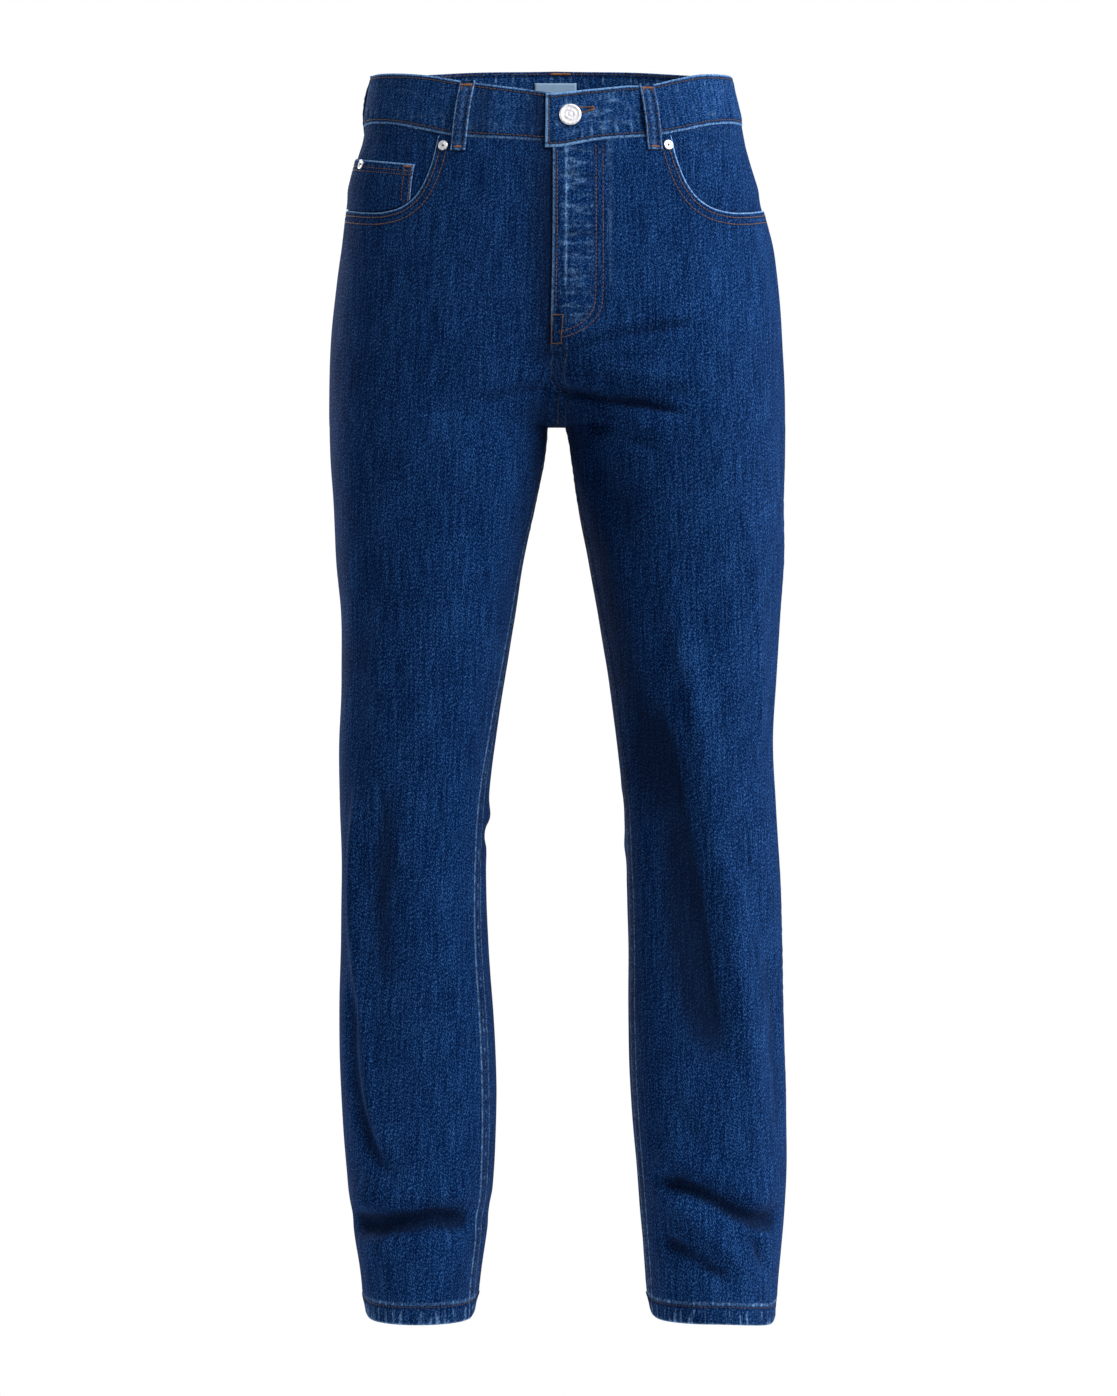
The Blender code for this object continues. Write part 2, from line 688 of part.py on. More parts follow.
def back_pocket_points(side):
    """Grid of a five-sided back pocket: straight sides drawn in to a pointed foot."""
    rows = []
    for down in np.linspace(0, 1, BACK_POCKET_ROWS):
        row = []
        for inwards in np.linspace(0, 1, BACK_POCKET_COLUMNS):
            top = BACK_POCKET_OUTER_Z + inwards * (BACK_POCKET_INNER_Z - BACK_POCKET_OUTER_Z)
            point = BACK_POCKET_POINT * (1 - abs(2 * inwards - 1))
            z = top - down * (BACK_POCKET_HEIGHT + point)
            width = BACK_POCKET_TOP_WIDTH + down * (BACK_POCKET_FOOT_WIDTH - BACK_POCKET_TOP_WIDTH)
            side_margin = BACK_POCKET_FROM_SIDE + (BACK_POCKET_TOP_WIDTH - width) / 2
            across = 1 - (side_margin + inwards * width) / panel_width(side, BACK, z)
            row.append(body_point(side, BACK, across, z, PATCH_GAP + POCKET_WALL))
        rows.append(row[::-1])
    return np.array(rows)


def add_back_pocket(side, collection):
    """A patch pocket on the seat."""
    material = denim(f"denim_back_pocket_{side.name}")
    outward = outward_of(side, BACK)
    name = f"back_pocket_{side.name}"
    add_cloth(name, back_pocket_points(side), outward, POCKET_WALL, material, collection)


def lap_out(from_centre):
    """How far the waistband's upper end stands out, from its tab across the front."""
    tab_out = FLY_LIFT + BAND_WALL - WALL
    return BAND_OUT + (tab_out - BAND_OUT) * (1 - smooth_step((from_centre - LAP_FLAT) / FLY_WIDTH))


def band_stations():
    """Places round the waistband, from the tab at the front to the end that lies under it."""
    stations = []
    for distance in (-TAB_REACH, -TAB_REACH / 2, 0.0):
        side = RIGHT if distance < 0 else LEFT
        across = abs(distance) / panel_width(side, FRONT, BUTTON_Z)
        edges = [band_edge(LEFT, FRONT, 0.0, edge) for edge in ("top", "bottom")]
        stations.append((side, FRONT, across, lap_out(distance), *edges))
    front = [c for c in FRONT_HIP_COLUMNS if c > 0]
    back = panel_columns(BACK, SHAPED_Z)
    path = [(LEFT, FRONT, across) for across in front]
    path += [(LEFT, BACK, across) for across in back[-2::-1]]
    path += [(RIGHT, BACK, across) for across in back[1:-1]]
    path += [(RIGHT, FRONT, across) for across in front[::-1] if across >= LAP_ACROSS]
    for side, panel, across in path:
        edges = [band_edge(side, panel, across, edge) for edge in ("top", "bottom")]
        lapped = (side, panel) == (LEFT, FRONT)
        lift = lap_out(across * panel_width(side, panel, 0.0)) if lapped else BAND_OUT
        stations.append((side, panel, across, lift, *edges))
    for under in UNDERLAP:
        side = RIGHT if under.from_centre <= 0 else LEFT
        across = abs(under.from_centre) / panel_width(side, FRONT, BUTTON_Z)
        edge_across = across if side is RIGHT else 0.0
        edges = [band_edge(RIGHT, FRONT, edge_across, edge) for edge in ("top", "bottom")]
        stations.append((side, FRONT, across, under.out, *edges))
    return stations


def add_waistband(collection, cutters):
    """One strip round the waist, lapped left over right at the front, with its buttonhole."""
    columns = []
    for side, panel, across, out, top, bottom in band_stations():
        z = np.linspace(top, bottom, 4)
        columns.append(body_point(side, panel, across, z, out, plain=True))
    points = np.array(columns).transpose(1, 0, 2)
    material = denim("denim_waistband", BAND_BLUE)
    band = add_cloth("waistband", points, 1, BAND_WALL, material, collection)
    for cutter in cutters:
        cut = band.modifiers.new(cutter.name, "BOOLEAN")
        cut.operation = "DIFFERENCE"
        cut.solver = "EXACT"
        cut.object = cutter


def surface_frame(side, panel, distance, z, out):
    """A placing for a piece on the surface: its Z axis points outwards and its X axis runs level."""
    reach = 0.004
    middle = Vector(point_from_centre(side, panel, distance, z, out))
    level = Vector(point_from_centre(side, panel, distance + reach, z, out)) - middle
    level.normalize()
    up = Vector(point_from_centre(side, panel, distance, z + reach, out)) - middle
    outward = level.cross(up).normalized() * outward_of(side, panel)
    turned = outward.cross(level)
    axes = Matrix((level, turned, outward)).transposed().to_4x4()
    return Matrix.Translation(middle) @ axes


def button_frame():
    """The button's place on the lap's outer face."""
    out = lap_out(BUTTON_FROM_CENTRE)
    return surface_frame(LEFT, FRONT, BUTTON_FROM_CENTRE, BUTTON_Z, out)


def add_buttonhole_cutters(collection):
    """The buttonhole: a round eye at the button and a slit towards the wearer's left."""
    place = button_frame()
    middle = Matrix.Translation((0, 0, 0.001 - HOLE_CUT_DEPTH / 2))
    height = HOLE_CUT_DEPTH + 0.002
    bpy.ops.mesh.primitive_cylinder_add(vertices=20, radius=EYE_RADIUS, depth=height)
    eye = bpy.context.object
    eye.name = "buttonhole_eye"
    eye.matrix_world = place @ middle
    bpy.ops.mesh.primitive_cube_add(size=1)
    slit = bpy.context.object
    slit.name = "buttonhole_slit"
    slit.data.transform(Matrix.Diagonal((SLIT_LENGTH, SLIT_WIDTH, height, 1)))
    slit.matrix_world = place @ Matrix.Translation((SLIT_LENGTH / 2, 0, 0)) @ middle
    cutters = (eye, slit)
    for cutter in cutters:
        for owner in cutter.users_collection:
            owner.objects.unlink(cutter)
        collection.objects.link(cutter)
        cutter.hide_render = True
        cutter.display_type = "WIRE"
    return cutters


def add_turned(name, profile, steps, material, place, collection):
    """A turned piece: its profile runs from the top of the axis down its outer side."""
    mesh = bpy.data.meshes.new(name)
    points = [(radius, 0, height) for radius, height in profile]
    mesh.from_pydata(points, [(i, i + 1) for i in range(len(points) - 1)], [])
    obj = add_object(name, mesh, material, collection)
    screw = obj.modifiers.new("turned", "SCREW")
    screw.steps = steps
    screw.render_steps = steps
    screw.use_merge_vertices = True
    screw.merge_threshold = 0.00005
    screw.use_smooth_shade = True
    obj.matrix_world = place
    return obj


def add_button(collection):
    """The fastened button: a rimmed head and the shank that holds it to the lower end of the waistband."""
    head = GAP
    profile = (
        (0, head + 0.0026),
        (0.55 * BUTTON_RADIUS, head + 0.0024),
        (0.66 * BUTTON_RADIUS, head + 0.0021),
        (0.76 * BUTTON_RADIUS, head + 0.0026),
        (0.88 * BUTTON_RADIUS, head + 0.0025),
        (0.97 * BUTTON_RADIUS, head + 0.0017),
        (BUTTON_RADIUS, head + 0.0010),
        (0.96 * BUTTON_RADIUS, head + 0.0003),
        (0.86 * BUTTON_RADIUS, head),
        (SHANK_RADIUS, head),
        (SHANK_RADIUS, -SHANK_LENGTH),
        (0, -SHANK_LENGTH),
    )
    material = polished_metal("button_metal")
    add_turned("waist_button", profile, 32, material, button_frame(), collection)


def add_rivet(rivet, collection):
    """A flat rivet with a raised rim and a nib."""
    profile = (
        (0, 0.0019),
        (0.22 * RIVET_RADIUS, 0.0017),
        (0.32 * RIVET_RADIUS, 0.0010),
        (0.58 * RIVET_RADIUS, 0.0010),
        (0.80 * RIVET_RADIUS, 0.0014),
        (0.97 * RIVET_RADIUS, 0.0010),
        (RIVET_RADIUS, 0.0005),
        (0.96 * RIVET_RADIUS, 0.0),
        (0, 0.0),
    )
    place = surface_frame(rivet.side, FRONT, rivet.from_centre, rivet.z, rivet.out + GAP)
    add_turned(rivet.name, profile, 20, polished_metal(f"{rivet.name}_metal"), place, collection)


def loop_points(loop):
    """Grid of a belt loop: flat at both ends and standing off the waistband between."""
    across = panel_width(loop.side, loop.panel, 0.0)
    top = band_edge(loop.side, loop.panel, loop.top / across, "top") + LOOP_ABOVE
    bottom = band_edge(loop.side, loop.panel, loop.bottom / across, "bottom") - LOOP_TAIL
    rows = []
    for along in np.linspace(0, 1, LOOP_ROWS):
        middle = loop.top + along * (loop.bottom - loop.top)
        out = np.interp(along, [rise.along for rise in LOOP_RISES], [rise.out for rise in LOOP_RISES])
        z = float(top + along * (bottom - top))
        places = [middle + share * LOOP_WIDTH for share in (-0.5, 0, 0.5)]
        rows.append([point_from_centre(loop.side, loop.panel, p, z, out + LOOP_WALL) for p in places])
    return np.array(rows)


def add_loop(loop, collection):
    """A belt loop."""
    material = denim(f"denim_{loop.name}", BAND_BLUE)
    outward = outward_of(loop.side, loop.panel)
    add_cloth(loop.name, loop_points(loop), outward, LOOP_WALL, material, collection)


def add_hem(side, collection):
    """The turned-up cloth inside a leg's end, a closed ring."""
    columns = even_columns(len(FRONT_HIP_COLUMNS))
    back_columns = even_columns(BACK_COLUMN_COUNT)
    rows = []
    for z in np.linspace(HEM_Z + HEM_DEPTH, HEM_Z, 3):
        front = body_point(side, FRONT, columns, hung(side, columns, z), -(WALL + GAP), low=True)
        back = body_point(side, BACK, back_columns, hung(side, back_columns, z), -(WALL + GAP), low=True)
        rows.append(np.concatenate([front, back[-2:0:-1]]))
    material = denim(f"denim_hem_{side.name}", FACING_BLUE)
    outward = outward_of(side, FRONT)
    add_cloth(f"hem_{side.name}", np.array(rows), outward, WALL, material, collection, closed=True)


def add_label(collection):
    """A bare woven label inside the centre back."""
    out = BAND_OUT - BAND_WALL - GAP
    rows = []
    for z in np.linspace(LABEL_TOP_Z, LABEL_TOP_Z - LABEL_HEIGHT, 3):
        places = np.linspace(-0.5, 0.5, 5) * LABEL_WIDTH
        rows.append([point_from_centre(LEFT, BACK, place, z, out) for place in places])
    material = principled("label_weave", LABEL_BLUE, 0.7, 0.0)
    add_cloth("label", np.array(rows), outward_of(LEFT, BACK), LABEL_WALL, material, collection)


def clear_scene():
    """Removes what the scene holds."""
    for obj in list(bpy.data.objects):
        bpy.data.objects.remove(obj, do_unlink=True)


def new_collection(name):
    """A new collection in the scene."""
    collection = bpy.data.collections.new(name)
    bpy.context.scene.collection.children.link(collection)
    return collection


def main():
    """Builds the jeans."""
    clear_scene()
    jeans = new_collection("straight_leg_jeans")
    cutters = add_buttonhole_cutters(new_collection("cutters"))
    for side in SIDES:
        add_front(side, jeans)
        add_back(side, jeans)
        add_yoke(side, jeans)
        add_facing(side, jeans)
        add_back_pocket(side, jeans)
        add_hem(side, jeans)
    add_coin_pocket(jeans)
    add_waistband(jeans, cutters)
    for loop in LOOPS:
        add_loop(loop, jeans)
    add_button(jeans)
    for rivet in RIVETS:
        add_rivet(rivet, jeans)
    add_label(jeans)


main()
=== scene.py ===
import logging
from dataclasses import dataclass, field
from enum import Enum
from math import pi, radians
from typing import Any, Callable, NamedTuple, Sequence

import bmesh
import bpy
import numpy as np
from mathutils import Matrix, Vector


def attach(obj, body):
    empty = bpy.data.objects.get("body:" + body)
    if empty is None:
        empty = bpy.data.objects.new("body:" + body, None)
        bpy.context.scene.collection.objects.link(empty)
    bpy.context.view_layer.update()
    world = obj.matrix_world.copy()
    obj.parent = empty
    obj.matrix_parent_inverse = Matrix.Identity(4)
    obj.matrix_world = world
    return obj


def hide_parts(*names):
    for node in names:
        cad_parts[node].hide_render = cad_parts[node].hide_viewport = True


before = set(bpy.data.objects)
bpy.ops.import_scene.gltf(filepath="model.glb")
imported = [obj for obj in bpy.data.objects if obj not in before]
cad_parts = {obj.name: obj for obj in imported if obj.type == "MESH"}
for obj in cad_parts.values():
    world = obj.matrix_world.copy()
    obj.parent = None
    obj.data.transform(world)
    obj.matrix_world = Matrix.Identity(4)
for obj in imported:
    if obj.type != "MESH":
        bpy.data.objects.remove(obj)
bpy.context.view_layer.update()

LOG = logging.getLogger("jeans")
Array = np.ndarray
Colour = tuple[float, float, float]

# Cloth walls and gaps, as the solids have them
WALL = 0.0015
BAND_WALL = 0.0025
POCKET_WALL = 0.0012
LABEL_WALL = 0.0008
GAP = 0.0003
PATCH_GAP = 0.0005
CROTCH_GAP = 0.0008
CROTCH_GAP_REACH = 0.012

# Heights
HEM_Z = -1.033
CROTCH_Z = -0.280
RISE_TOP_Z = -0.10
SHAPED_Z = -0.130
FLY_END_Z = -0.205
HEM_DEPTH = 0.0155
HEM_DIP = 0.0065
HEM_DIP_START = 0.4
HEM_DIP_REACH = 0.5
ANKLE_Z = -0.90
YOKE_SIDE_Z = -0.056
YOKE_BACK_Z = -0.079
YOKE_LEVEL_Z = -0.04
YOKE_POWER = 1.2

# Shape of the half rings
ROUNDNESS = 0.93
LEG_EVEN_REACH = 0.12
RISE_POWER = 1.6
RING_POINTS = 240
STRIP_POINTS = 20
SMOOTHING_PASSES = 16
HEM_CORNER = 0.0065
HEM_TUCK = 0.0014
HEM_SQUARENESS = 16

# Fly, and the waistband's lap over it
BAND_OUT = 0.0005
FLY_LIFT = WALL + GAP
FLY_WIDTH = 0.045
FLY_END_EASE = 0.012
FLY_OVERHANG = 0.0022
CENTRE_RISE = 0.0044
TAB_DIP = 0.0049
TAB_DIP_REACH = 0.12
TAB_REACH = 0.0080
LAP_FLAT = 0.002
LAP_ACROSS = 0.12
BUTTON_Z = -0.0268
BUTTON_FROM_CENTRE = 0.0122
FRONT_WIDTH = 0.2058
CENTRE_ROWS = (0.0025, 0.0095)
# Share of its flat rectangle that a shaped piece fills
SHAPED_SHARE = 0.75


class Side(Enum):
    """The wearer's sides, with the sign of their X."""

    LEFT = 1
    RIGHT = -1


class Panel(Enum):
    """Front or back, with the sign of the way it faces along Y."""

    FRONT = -1
    BACK = 1


class Held(Enum):
    """How a sheet of cloth is held."""

    HUNG = "hung"
    STRETCHED = "stretched"
    FOLDED = "folded"


LEFT, RIGHT = Side
FRONT, BACK = Panel


def in_metres(row: Sequence[float]) -> list[float]:
    """A row of millimetres in metres."""
    return [value / 1000 for value in row]


class Section(NamedTuple):
    """How far the body reaches from the middle at one height."""

    z: float
    right: float
    left: float
    front: float
    back: float


SECTIONS = tuple(Section(*in_metres(row)) for row in (
    (36, 154.5, 147.5, 86, 89),
    (12, 157.5, 150.5, 90, 91),
    (-12, 161, 156, 94, 93),
    (-36, 163.6, 160.2, 98, 97),
    (-56, 169, 165.3, 101, 102),
    (-80, 175, 172.6, 104, 108),
    (-104, 178.8, 179.1, 107, 114),
    (-128, 181.9, 185.1, 110, 120),
    (-152, 185.3, 188.7, 112, 125),
    (-188, 189.5, 192.1, 113, 128),
    (-223, 191.9, 193.8, 112, 126),
    (-259, 192.3, 195.1, 109, 119),
    (-308, 191.3, 194.9, 104, 104),
    (-342, 188.7, 193.9, 100, 96),
    (-393, 186.2, 194.1, 94, 90),
    (-444, 181.9, 190.6, 88, 84),
    (-495, 181.5, 187.7, 82, 78),
    (-546, 183.6, 184.7, 77, 72),
    (-597, 183.2, 186.8, 73, 67),
    (-648, 181.7, 190.2, 70, 67),
    (-716, 182.2, 192.8, 67, 67),
    (-784, 183.8, 193.9, 66, 67),
    (-852, 181.8, 196.1, 66, 67),
    (-903, 178.1, 196.4, 67, 69),
    (-954, 172.1, 193.8, 70, 73),
    (-1005, 165, 189.3, 73, 77),
    (-1040, 162.2, 187.7, 74, 79),
))


class Inner(NamedTuple):
    """How far each leg's inner side lies from the middle, below the crotch."""

    z: float
    right: float
    left: float


INNERS = tuple(Inner(*in_metres(row)) for row in (
    (-280, 7.2, 8.9),
    (-291, 7.6, 11.5),
    (-308, 9.6, 13.8),
    (-342, 16.1, 18.3),
    (-393, 26.9, 27.6),
    (-444, 34.8, 36.6),
    (-495, 43, 45.1),
    (-546, 50.7, 51.6),
    (-597, 56.9, 57.2),
    (-648, 58.7, 59.8),
    (-716, 57, 61.6),
    (-784, 52.3, 61.8),
    (-852, 50.1, 64.2),
    (-903, 51.6, 68.4),
    (-954, 56.9, 72.4),
    (-1005, 63.9, 76.6),
    (-1040, 66.7, 78.6),
))


class SeamTurn(NamedTuple):
    """Where the seams turn off the body's outer and inner lines, in degrees to the front."""

    z: float
    right_side: float
    left_side: float
    right_inseam: float
    left_inseam: float


SEAM_TURNS = tuple(SeamTurn(*row) for row in (
    (0.036, -4, -4, 0, 0),
    (-0.280, -4, -3, 0, 0),
    (-0.400, -4, 6, 8, 6),
    (-0.560, -4, 17, 18, 12),
    (-0.660, -5, 10, 24, 14),
    (-0.800, -6, -2, 26, 15),
    (-1.040, -8, -6, 24, 15),
))


class BandEdge(NamedTuple):
    """The waistband's edges, from the centre front (0) by the side seam (1) to the back (2)."""

    round: float
    top_left: float
    top_right: float
    bottom: float


BAND_EDGES = tuple(BandEdge(*row) for row in (
    (0.00, -0.0078, -0.0078, -0.0490),
    (0.18, -0.0034, -0.0023, -0.0462),
    (0.28, -0.0010, 0.0007, -0.0447),
    (0.40, 0.0012, 0.0048, -0.0418),
    (0.50, 0.0065, 0.0092, -0.0372),
    (0.62, 0.0121, 0.0127, -0.0312),
    (0.78, 0.0153, 0.0158, -0.0266),
    (1.00, 0.0180, 0.0180, -0.0250),
    (1.30, 0.0258, 0.0258, -0.0190),
    (1.60, 0.0318, 0.0318, -0.0135),
    (2.00, 0.0342, 0.0342, -0.0112),
))


class PocketEdge(NamedTuple):
    """A point of the curved front pocket opening."""

    across: float
    z: float


POCKET_EDGES = tuple(PocketEdge(*row) for row in (
    (0.450, -0.0400),
    (0.460, -0.0670),
    (0.478, -0.0824),
    (0.508, -0.0936),
    (0.549, -0.1003),
    (0.625, -0.1038),
    (0.720, -0.1026),
    (0.820, -0.0995),
    (0.910, -0.0968),
    (1.000, -0.0950),
))


class Fold(NamedTuple):
    """A broad fold. Tilt is from level, up to the side seam; a depth below zero is a trough."""

    side: Side
    panel: Panel
    across: float
    z: float
    tilt: float
    length: float
    width: float
    depth: float


FOLDS = tuple(Fold(*row) for row in (
    (RIGHT, FRONT, 0.45, -0.9480, 0, 0.070, 0.009, -0.0040),
    (RIGHT, FRONT, 0.45, -0.9260, 0, 0.060, 0.012, 0.0025),
    (RIGHT, FRONT, 0.50, -0.9720, 0, 0.050, 0.013, 0.0020),
    (LEFT, FRONT, 0.45, -0.9640, -48, 0.050, 0.009, 0.0035),
    (LEFT, FRONT, 0.72, -0.9380, -40, 0.030, 0.011, -0.0030),
    (LEFT, FRONT, 0.24, -0.9700, -45, 0.028, 0.011, -0.0025),
    (LEFT, FRONT, 0.34, -0.2620, 5, 0.050, 0.009, -0.0030),
    (LEFT, FRONT, 0.34, -0.2900, 8, 0.045, 0.012, 0.0020),
    (LEFT, BACK, 0.40, -0.3300, -25, 0.060, 0.014, -0.0040),
    (RIGHT, BACK, 0.40, -0.3360, -22, 0.060, 0.014, -0.0040),
    (LEFT, BACK, 0.50, -0.6300, -8, 0.050, 0.014, -0.0035),
    (RIGHT, BACK, 0.50, -0.6420, 6, 0.050, 0.014, -0.0035),
    (LEFT, BACK, 0.45, -0.9500, 12, 0.050, 0.013, -0.0030),
    (RIGHT, BACK, 0.45, -0.9440, -6, 0.055, 0.013, -0.0035),
))


class Crease(NamedTuple):
    """A crease or soft fold: where it runs, as (distance, height) places, and its cross-section.

    The distance is from the centre or the inseam. The width is that of its lower or inner flank; the
    other flank is wider by the skew. The depth is below zero for a trough and above for a ridge; the
    lip is a swell along its upper or outer flank.
    """

    side: Side
    panel: Panel
    path: Sequence[Sequence[float]]
    width: float
    depth: float
    lip: float = 0.0
    skew: float = 0.0

    def in_metres(self) -> "Crease":
        """The crease, given in millimetres, in metres. The skew is a share."""
        sizes = in_metres((self.width, self.depth, self.lip))
        return Crease(self.side, self.panel, [in_metres(place) for place in self.path], *sizes, self.skew)


CREASES = tuple(Crease(*row).in_metres() for row in (
    # Front thighs, spreading from the end of the fly
    (LEFT, FRONT, ((-10, -229), (38, -215), (71, -207), (104, -202), (134, -201)), 4.6, -4, 2.2),
    (LEFT, FRONT, ((4, -240), (55, -240), (100, -246), (140, -252)), 8, 2.6),
    (LEFT, FRONT, ((-30, -252), (10, -253.5), (48, -259.5), (87, -265.5), (124, -271.5),
     (164, -278)), 4.6, -5, 1.6, 0.2),
    (LEFT, FRONT, ((50, -276), (101, -291), (140, -303)), 6.5, -3.4, 1.6),
    (LEFT, FRONT, ((62, -300), (82, -345), (90, -400)), 15, -3, 0, 0.4),
    (RIGHT, FRONT, ((-20, -249), (4, -251), (54, -259), (96, -266)), 5.2, -3, 1.6),
    (RIGHT, FRONT, ((30, -206), (43, -214), (58, -224)), 6, -1.2, 0.6),
    (RIGHT, FRONT, ((113, -270), (139, -273), (159, -272)), 6, -1.4),
    (RIGHT, FRONT, ((89, -150), (90, -225)), 6, 1),
    # Long falls down the front of the legs
    (LEFT, FRONT, ((104, -380), (99, -500), (95, -629), (101, -670), (109, -729), (118, -792),
     (125, -880)), 8.8, 6.4, 0, 0.8),
    (LEFT, FRONT, ((69, -500), (67, -600), (71, -675), (81, -732), (95, -786), (108, -850)),
     32, -8, 0, -0.6),
    (LEFT, FRONT, ((136, -690), (150, -760), (156, -830), (156, -905)), 11, -3.6),
    (LEFT, FRONT, ((41, -839), (62, -863), (78, -885)), 8, -2.2),
    (LEFT, FRONT, ((34, -320), (38, -460), (46, -620)), 30, -4),
    (LEFT, FRONT, ((192, -350), (176, -461), (157, -560)), 8, 2.6),
    (RIGHT, FRONT, ((182, -370), (157, -495), (128, -587)), 15, -2),
    (RIGHT, FRONT, ((143, -400), (114, -512), (90, -595)), 13, -1.6),
    (RIGHT, FRONT, ((106, -560), (101, -645), (100, -696), (98, -774)), 11.5, -5),
    (RIGHT, FRONT, ((137, -560), (130, -705), (119, -772), (116, -822), (110, -868), (92, -908)),
     7, 5.8),
    (RIGHT, FRONT, ((138, -740), (130, -848), (116, -885), (86, -925)), 7.8, -5.2),
    (RIGHT, FRONT, ((112, -980), (109, -1020)), 9, -1.2),
    # Breaks over the ankles
    (RIGHT, FRONT, ((160, -953), (104, -951), (77, -947), (52, -944), (36, -946), (12, -949)),
     8, -11.6, 5, 0.4),
    (LEFT, FRONT, ((22, -914), (64, -920), (81, -928), (98, -938), (115, -945), (164, -950)),
     7, -10, 5, 0.4),
    (LEFT, FRONT, ((113, -955), (126, -975), (140, -992)), 6, -4.6),
    (LEFT, FRONT, ((14, -920), (59, -942), (81, -962), (104, -986)), 6.6, 4.2),
    (LEFT, FRONT, ((30, -966), (62, -973), (81, -985), (100, -1002)), 6.8, -4.6, 1.4),
    # Behind the knees and under the seat
    (LEFT, BACK, ((10, -300), (65, -325), (125, -370)), 7, -3.4, 1.8, 0.3),
    (RIGHT, BACK, ((10, -302), (60, -322), (118, -362)), 7, -3.4, 1.8, 0.3),
    (LEFT, BACK, ((15, -340), (55, -370), (95, -416)), 8.5, -2.2, 1),
    (RIGHT, BACK, ((12, -345), (48, -366), (85, -398)), 8.5, -2.2, 1),
    (LEFT, BACK, ((10, -600), (90, -603), (180, -580)), 6.2, -4, 2.6, 0.4),
    (RIGHT, BACK, ((6, -626), (80, -626), (160, -606)), 6.2, -4.2, 2.6, 0.4),
    (LEFT, BACK, ((10, -656), (70, -644), (145, -640)), 6.5, -3.2, 1.8, 0.3),
    (RIGHT, BACK, ((30, -664), (100, -652), (178, -656)), 6.5, -3, 1.6, 0.3),
    (LEFT, BACK, ((30, -972), (110, -948), (190, -930)), 5.8, -4, 2.6, 0.4),
    (RIGHT, BACK, ((20, -944), (100, -950), (185, -956)), 6, -3.6, 1.6, 0.4),
    (LEFT, BACK, ((90, -430), (110, -640), (104, -870)), 15, -2.6),
    (RIGHT, BACK, ((85, -440), (92, -640), (112, -860)), 15, -2.8),
))


def smooth_step(value: Any) -> Any:
    """0 below 0, 1 above 1, and a soft rise between."""
    value = np.clip(value, 0, 1)
    return value * value * (3 - 2 * value)


def rise(value: Any, start: float, reach: float) -> Any:
    """A soft rise from 0 at start to 1 a reach further on."""
    return smooth_step((value - start) / reach)


def fall(value: Any, start: float, reach: float) -> Any:
    """A soft fall from 1 at start to 0 a reach further on."""
    return 1 - rise(value, start, reach)


def bell(distance: Any, width: Any) -> Any:
    """A bump of height 1 round zero, of about this half width."""
    return np.exp(-((distance / width) ** 2))


def bells(distance: Any, places: Sequence[float], width: float) -> Any:
    """Bumps of height 1 at several places."""
    return sum(bell(distance - place, width) for place in places)


def ridged(distance: Any, *ridges: tuple[float, float, float]) -> Any:
    """Height of ridges and grooves, each a place, a width and a height, at distances across them."""
    return sum(height * bell(distance - place, width) for place, width, height in ridges)


def arc_lengths(points: Array) -> Array:
    """Distance along a line of points, at each of them."""
    return np.concatenate([[0.0], np.cumsum(np.linalg.norm(np.diff(points, axis=0), axis=1))])


def read_path(at: Any, arc: Array, path: Array) -> Array:
    """Places along a path, read straight between its points."""
    return np.stack([np.interp(at, arc, column) for column in np.asarray(path).T], axis=1)


def unit(vectors: Array) -> Array:
    """The vectors along the last axis, each of length 1."""
    return vectors / np.linalg.norm(vectors, axis=-1, keepdims=True)


def alike(*values: Any) -> list[Array]:
    """Numbers and arrays as arrays of one shape."""
    return np.broadcast_arrays(*(np.asarray(value, float) for value in values))


def read_cells(values: Array, row: Array, column: Array) -> Array:
    """A grid's values between its rows and columns, carried on past its border.

    Args:
        values: The grid, with a last axis for each value's parts.
        row: Places down it, in rows.
        column: Places across it, in columns.

    Returns:
        The values at those places.
    """
    upper = np.clip(np.floor(row).astype(int), 0, values.shape[0] - 2)
    left = np.clip(np.floor(column).astype(int), 0, values.shape[1] - 2)
    down, across = (row - upper)[..., None], (column - left)[..., None]
    first = values[upper, left] * (1 - across) + values[upper, left + 1] * across
    second = values[upper + 1, left] * (1 - across) + values[upper + 1, left + 1] * across
    return first * (1 - down) + second * down


def read_curve(places: Sequence[float], values: Sequence[float], at: Any) -> Array:
    """A smooth curve through points.

    Args:
        places: Where each value stands, in any order.
        values: The curve's values there.
        at: Where to read it.

    Returns:
        The curve's values at those places, held level past its ends.
    """
    order = np.argsort(places)
    stands, heights = np.asarray(places, float)[order], np.asarray(values, float)[order]
    slopes = np.gradient(heights, stands)
    at = np.clip(at, stands[0], stands[-1])
    first = np.clip(np.searchsorted(stands, at) - 1, 0, len(stands) - 2)
    step = stands[first + 1] - stands[first]
    t = (at - stands[first]) / step
    climb = (heights[first + 1] - heights[first]) * smooth_step(t)
    start_slope = slopes[first] * step * t * (1 - t) ** 2
    end_slope = slopes[first + 1] * step * t * t * (t - 1)
    return heights[first] + climb + start_slope + end_slope


def read_table(table: Sequence[Any], column: str, at: Any, place: str = "z") -> Array:
    """One column of a table of named rows, read as a smooth curve.

    Args:
        table: The rows.
        column: Name of the column to read.
        at: Where to read it.
        place: Name of the column of places.

    Returns:
        The values at those places.
    """
    return read_curve([getattr(row, place) for row in table], [getattr(row, column) for row in table], at)


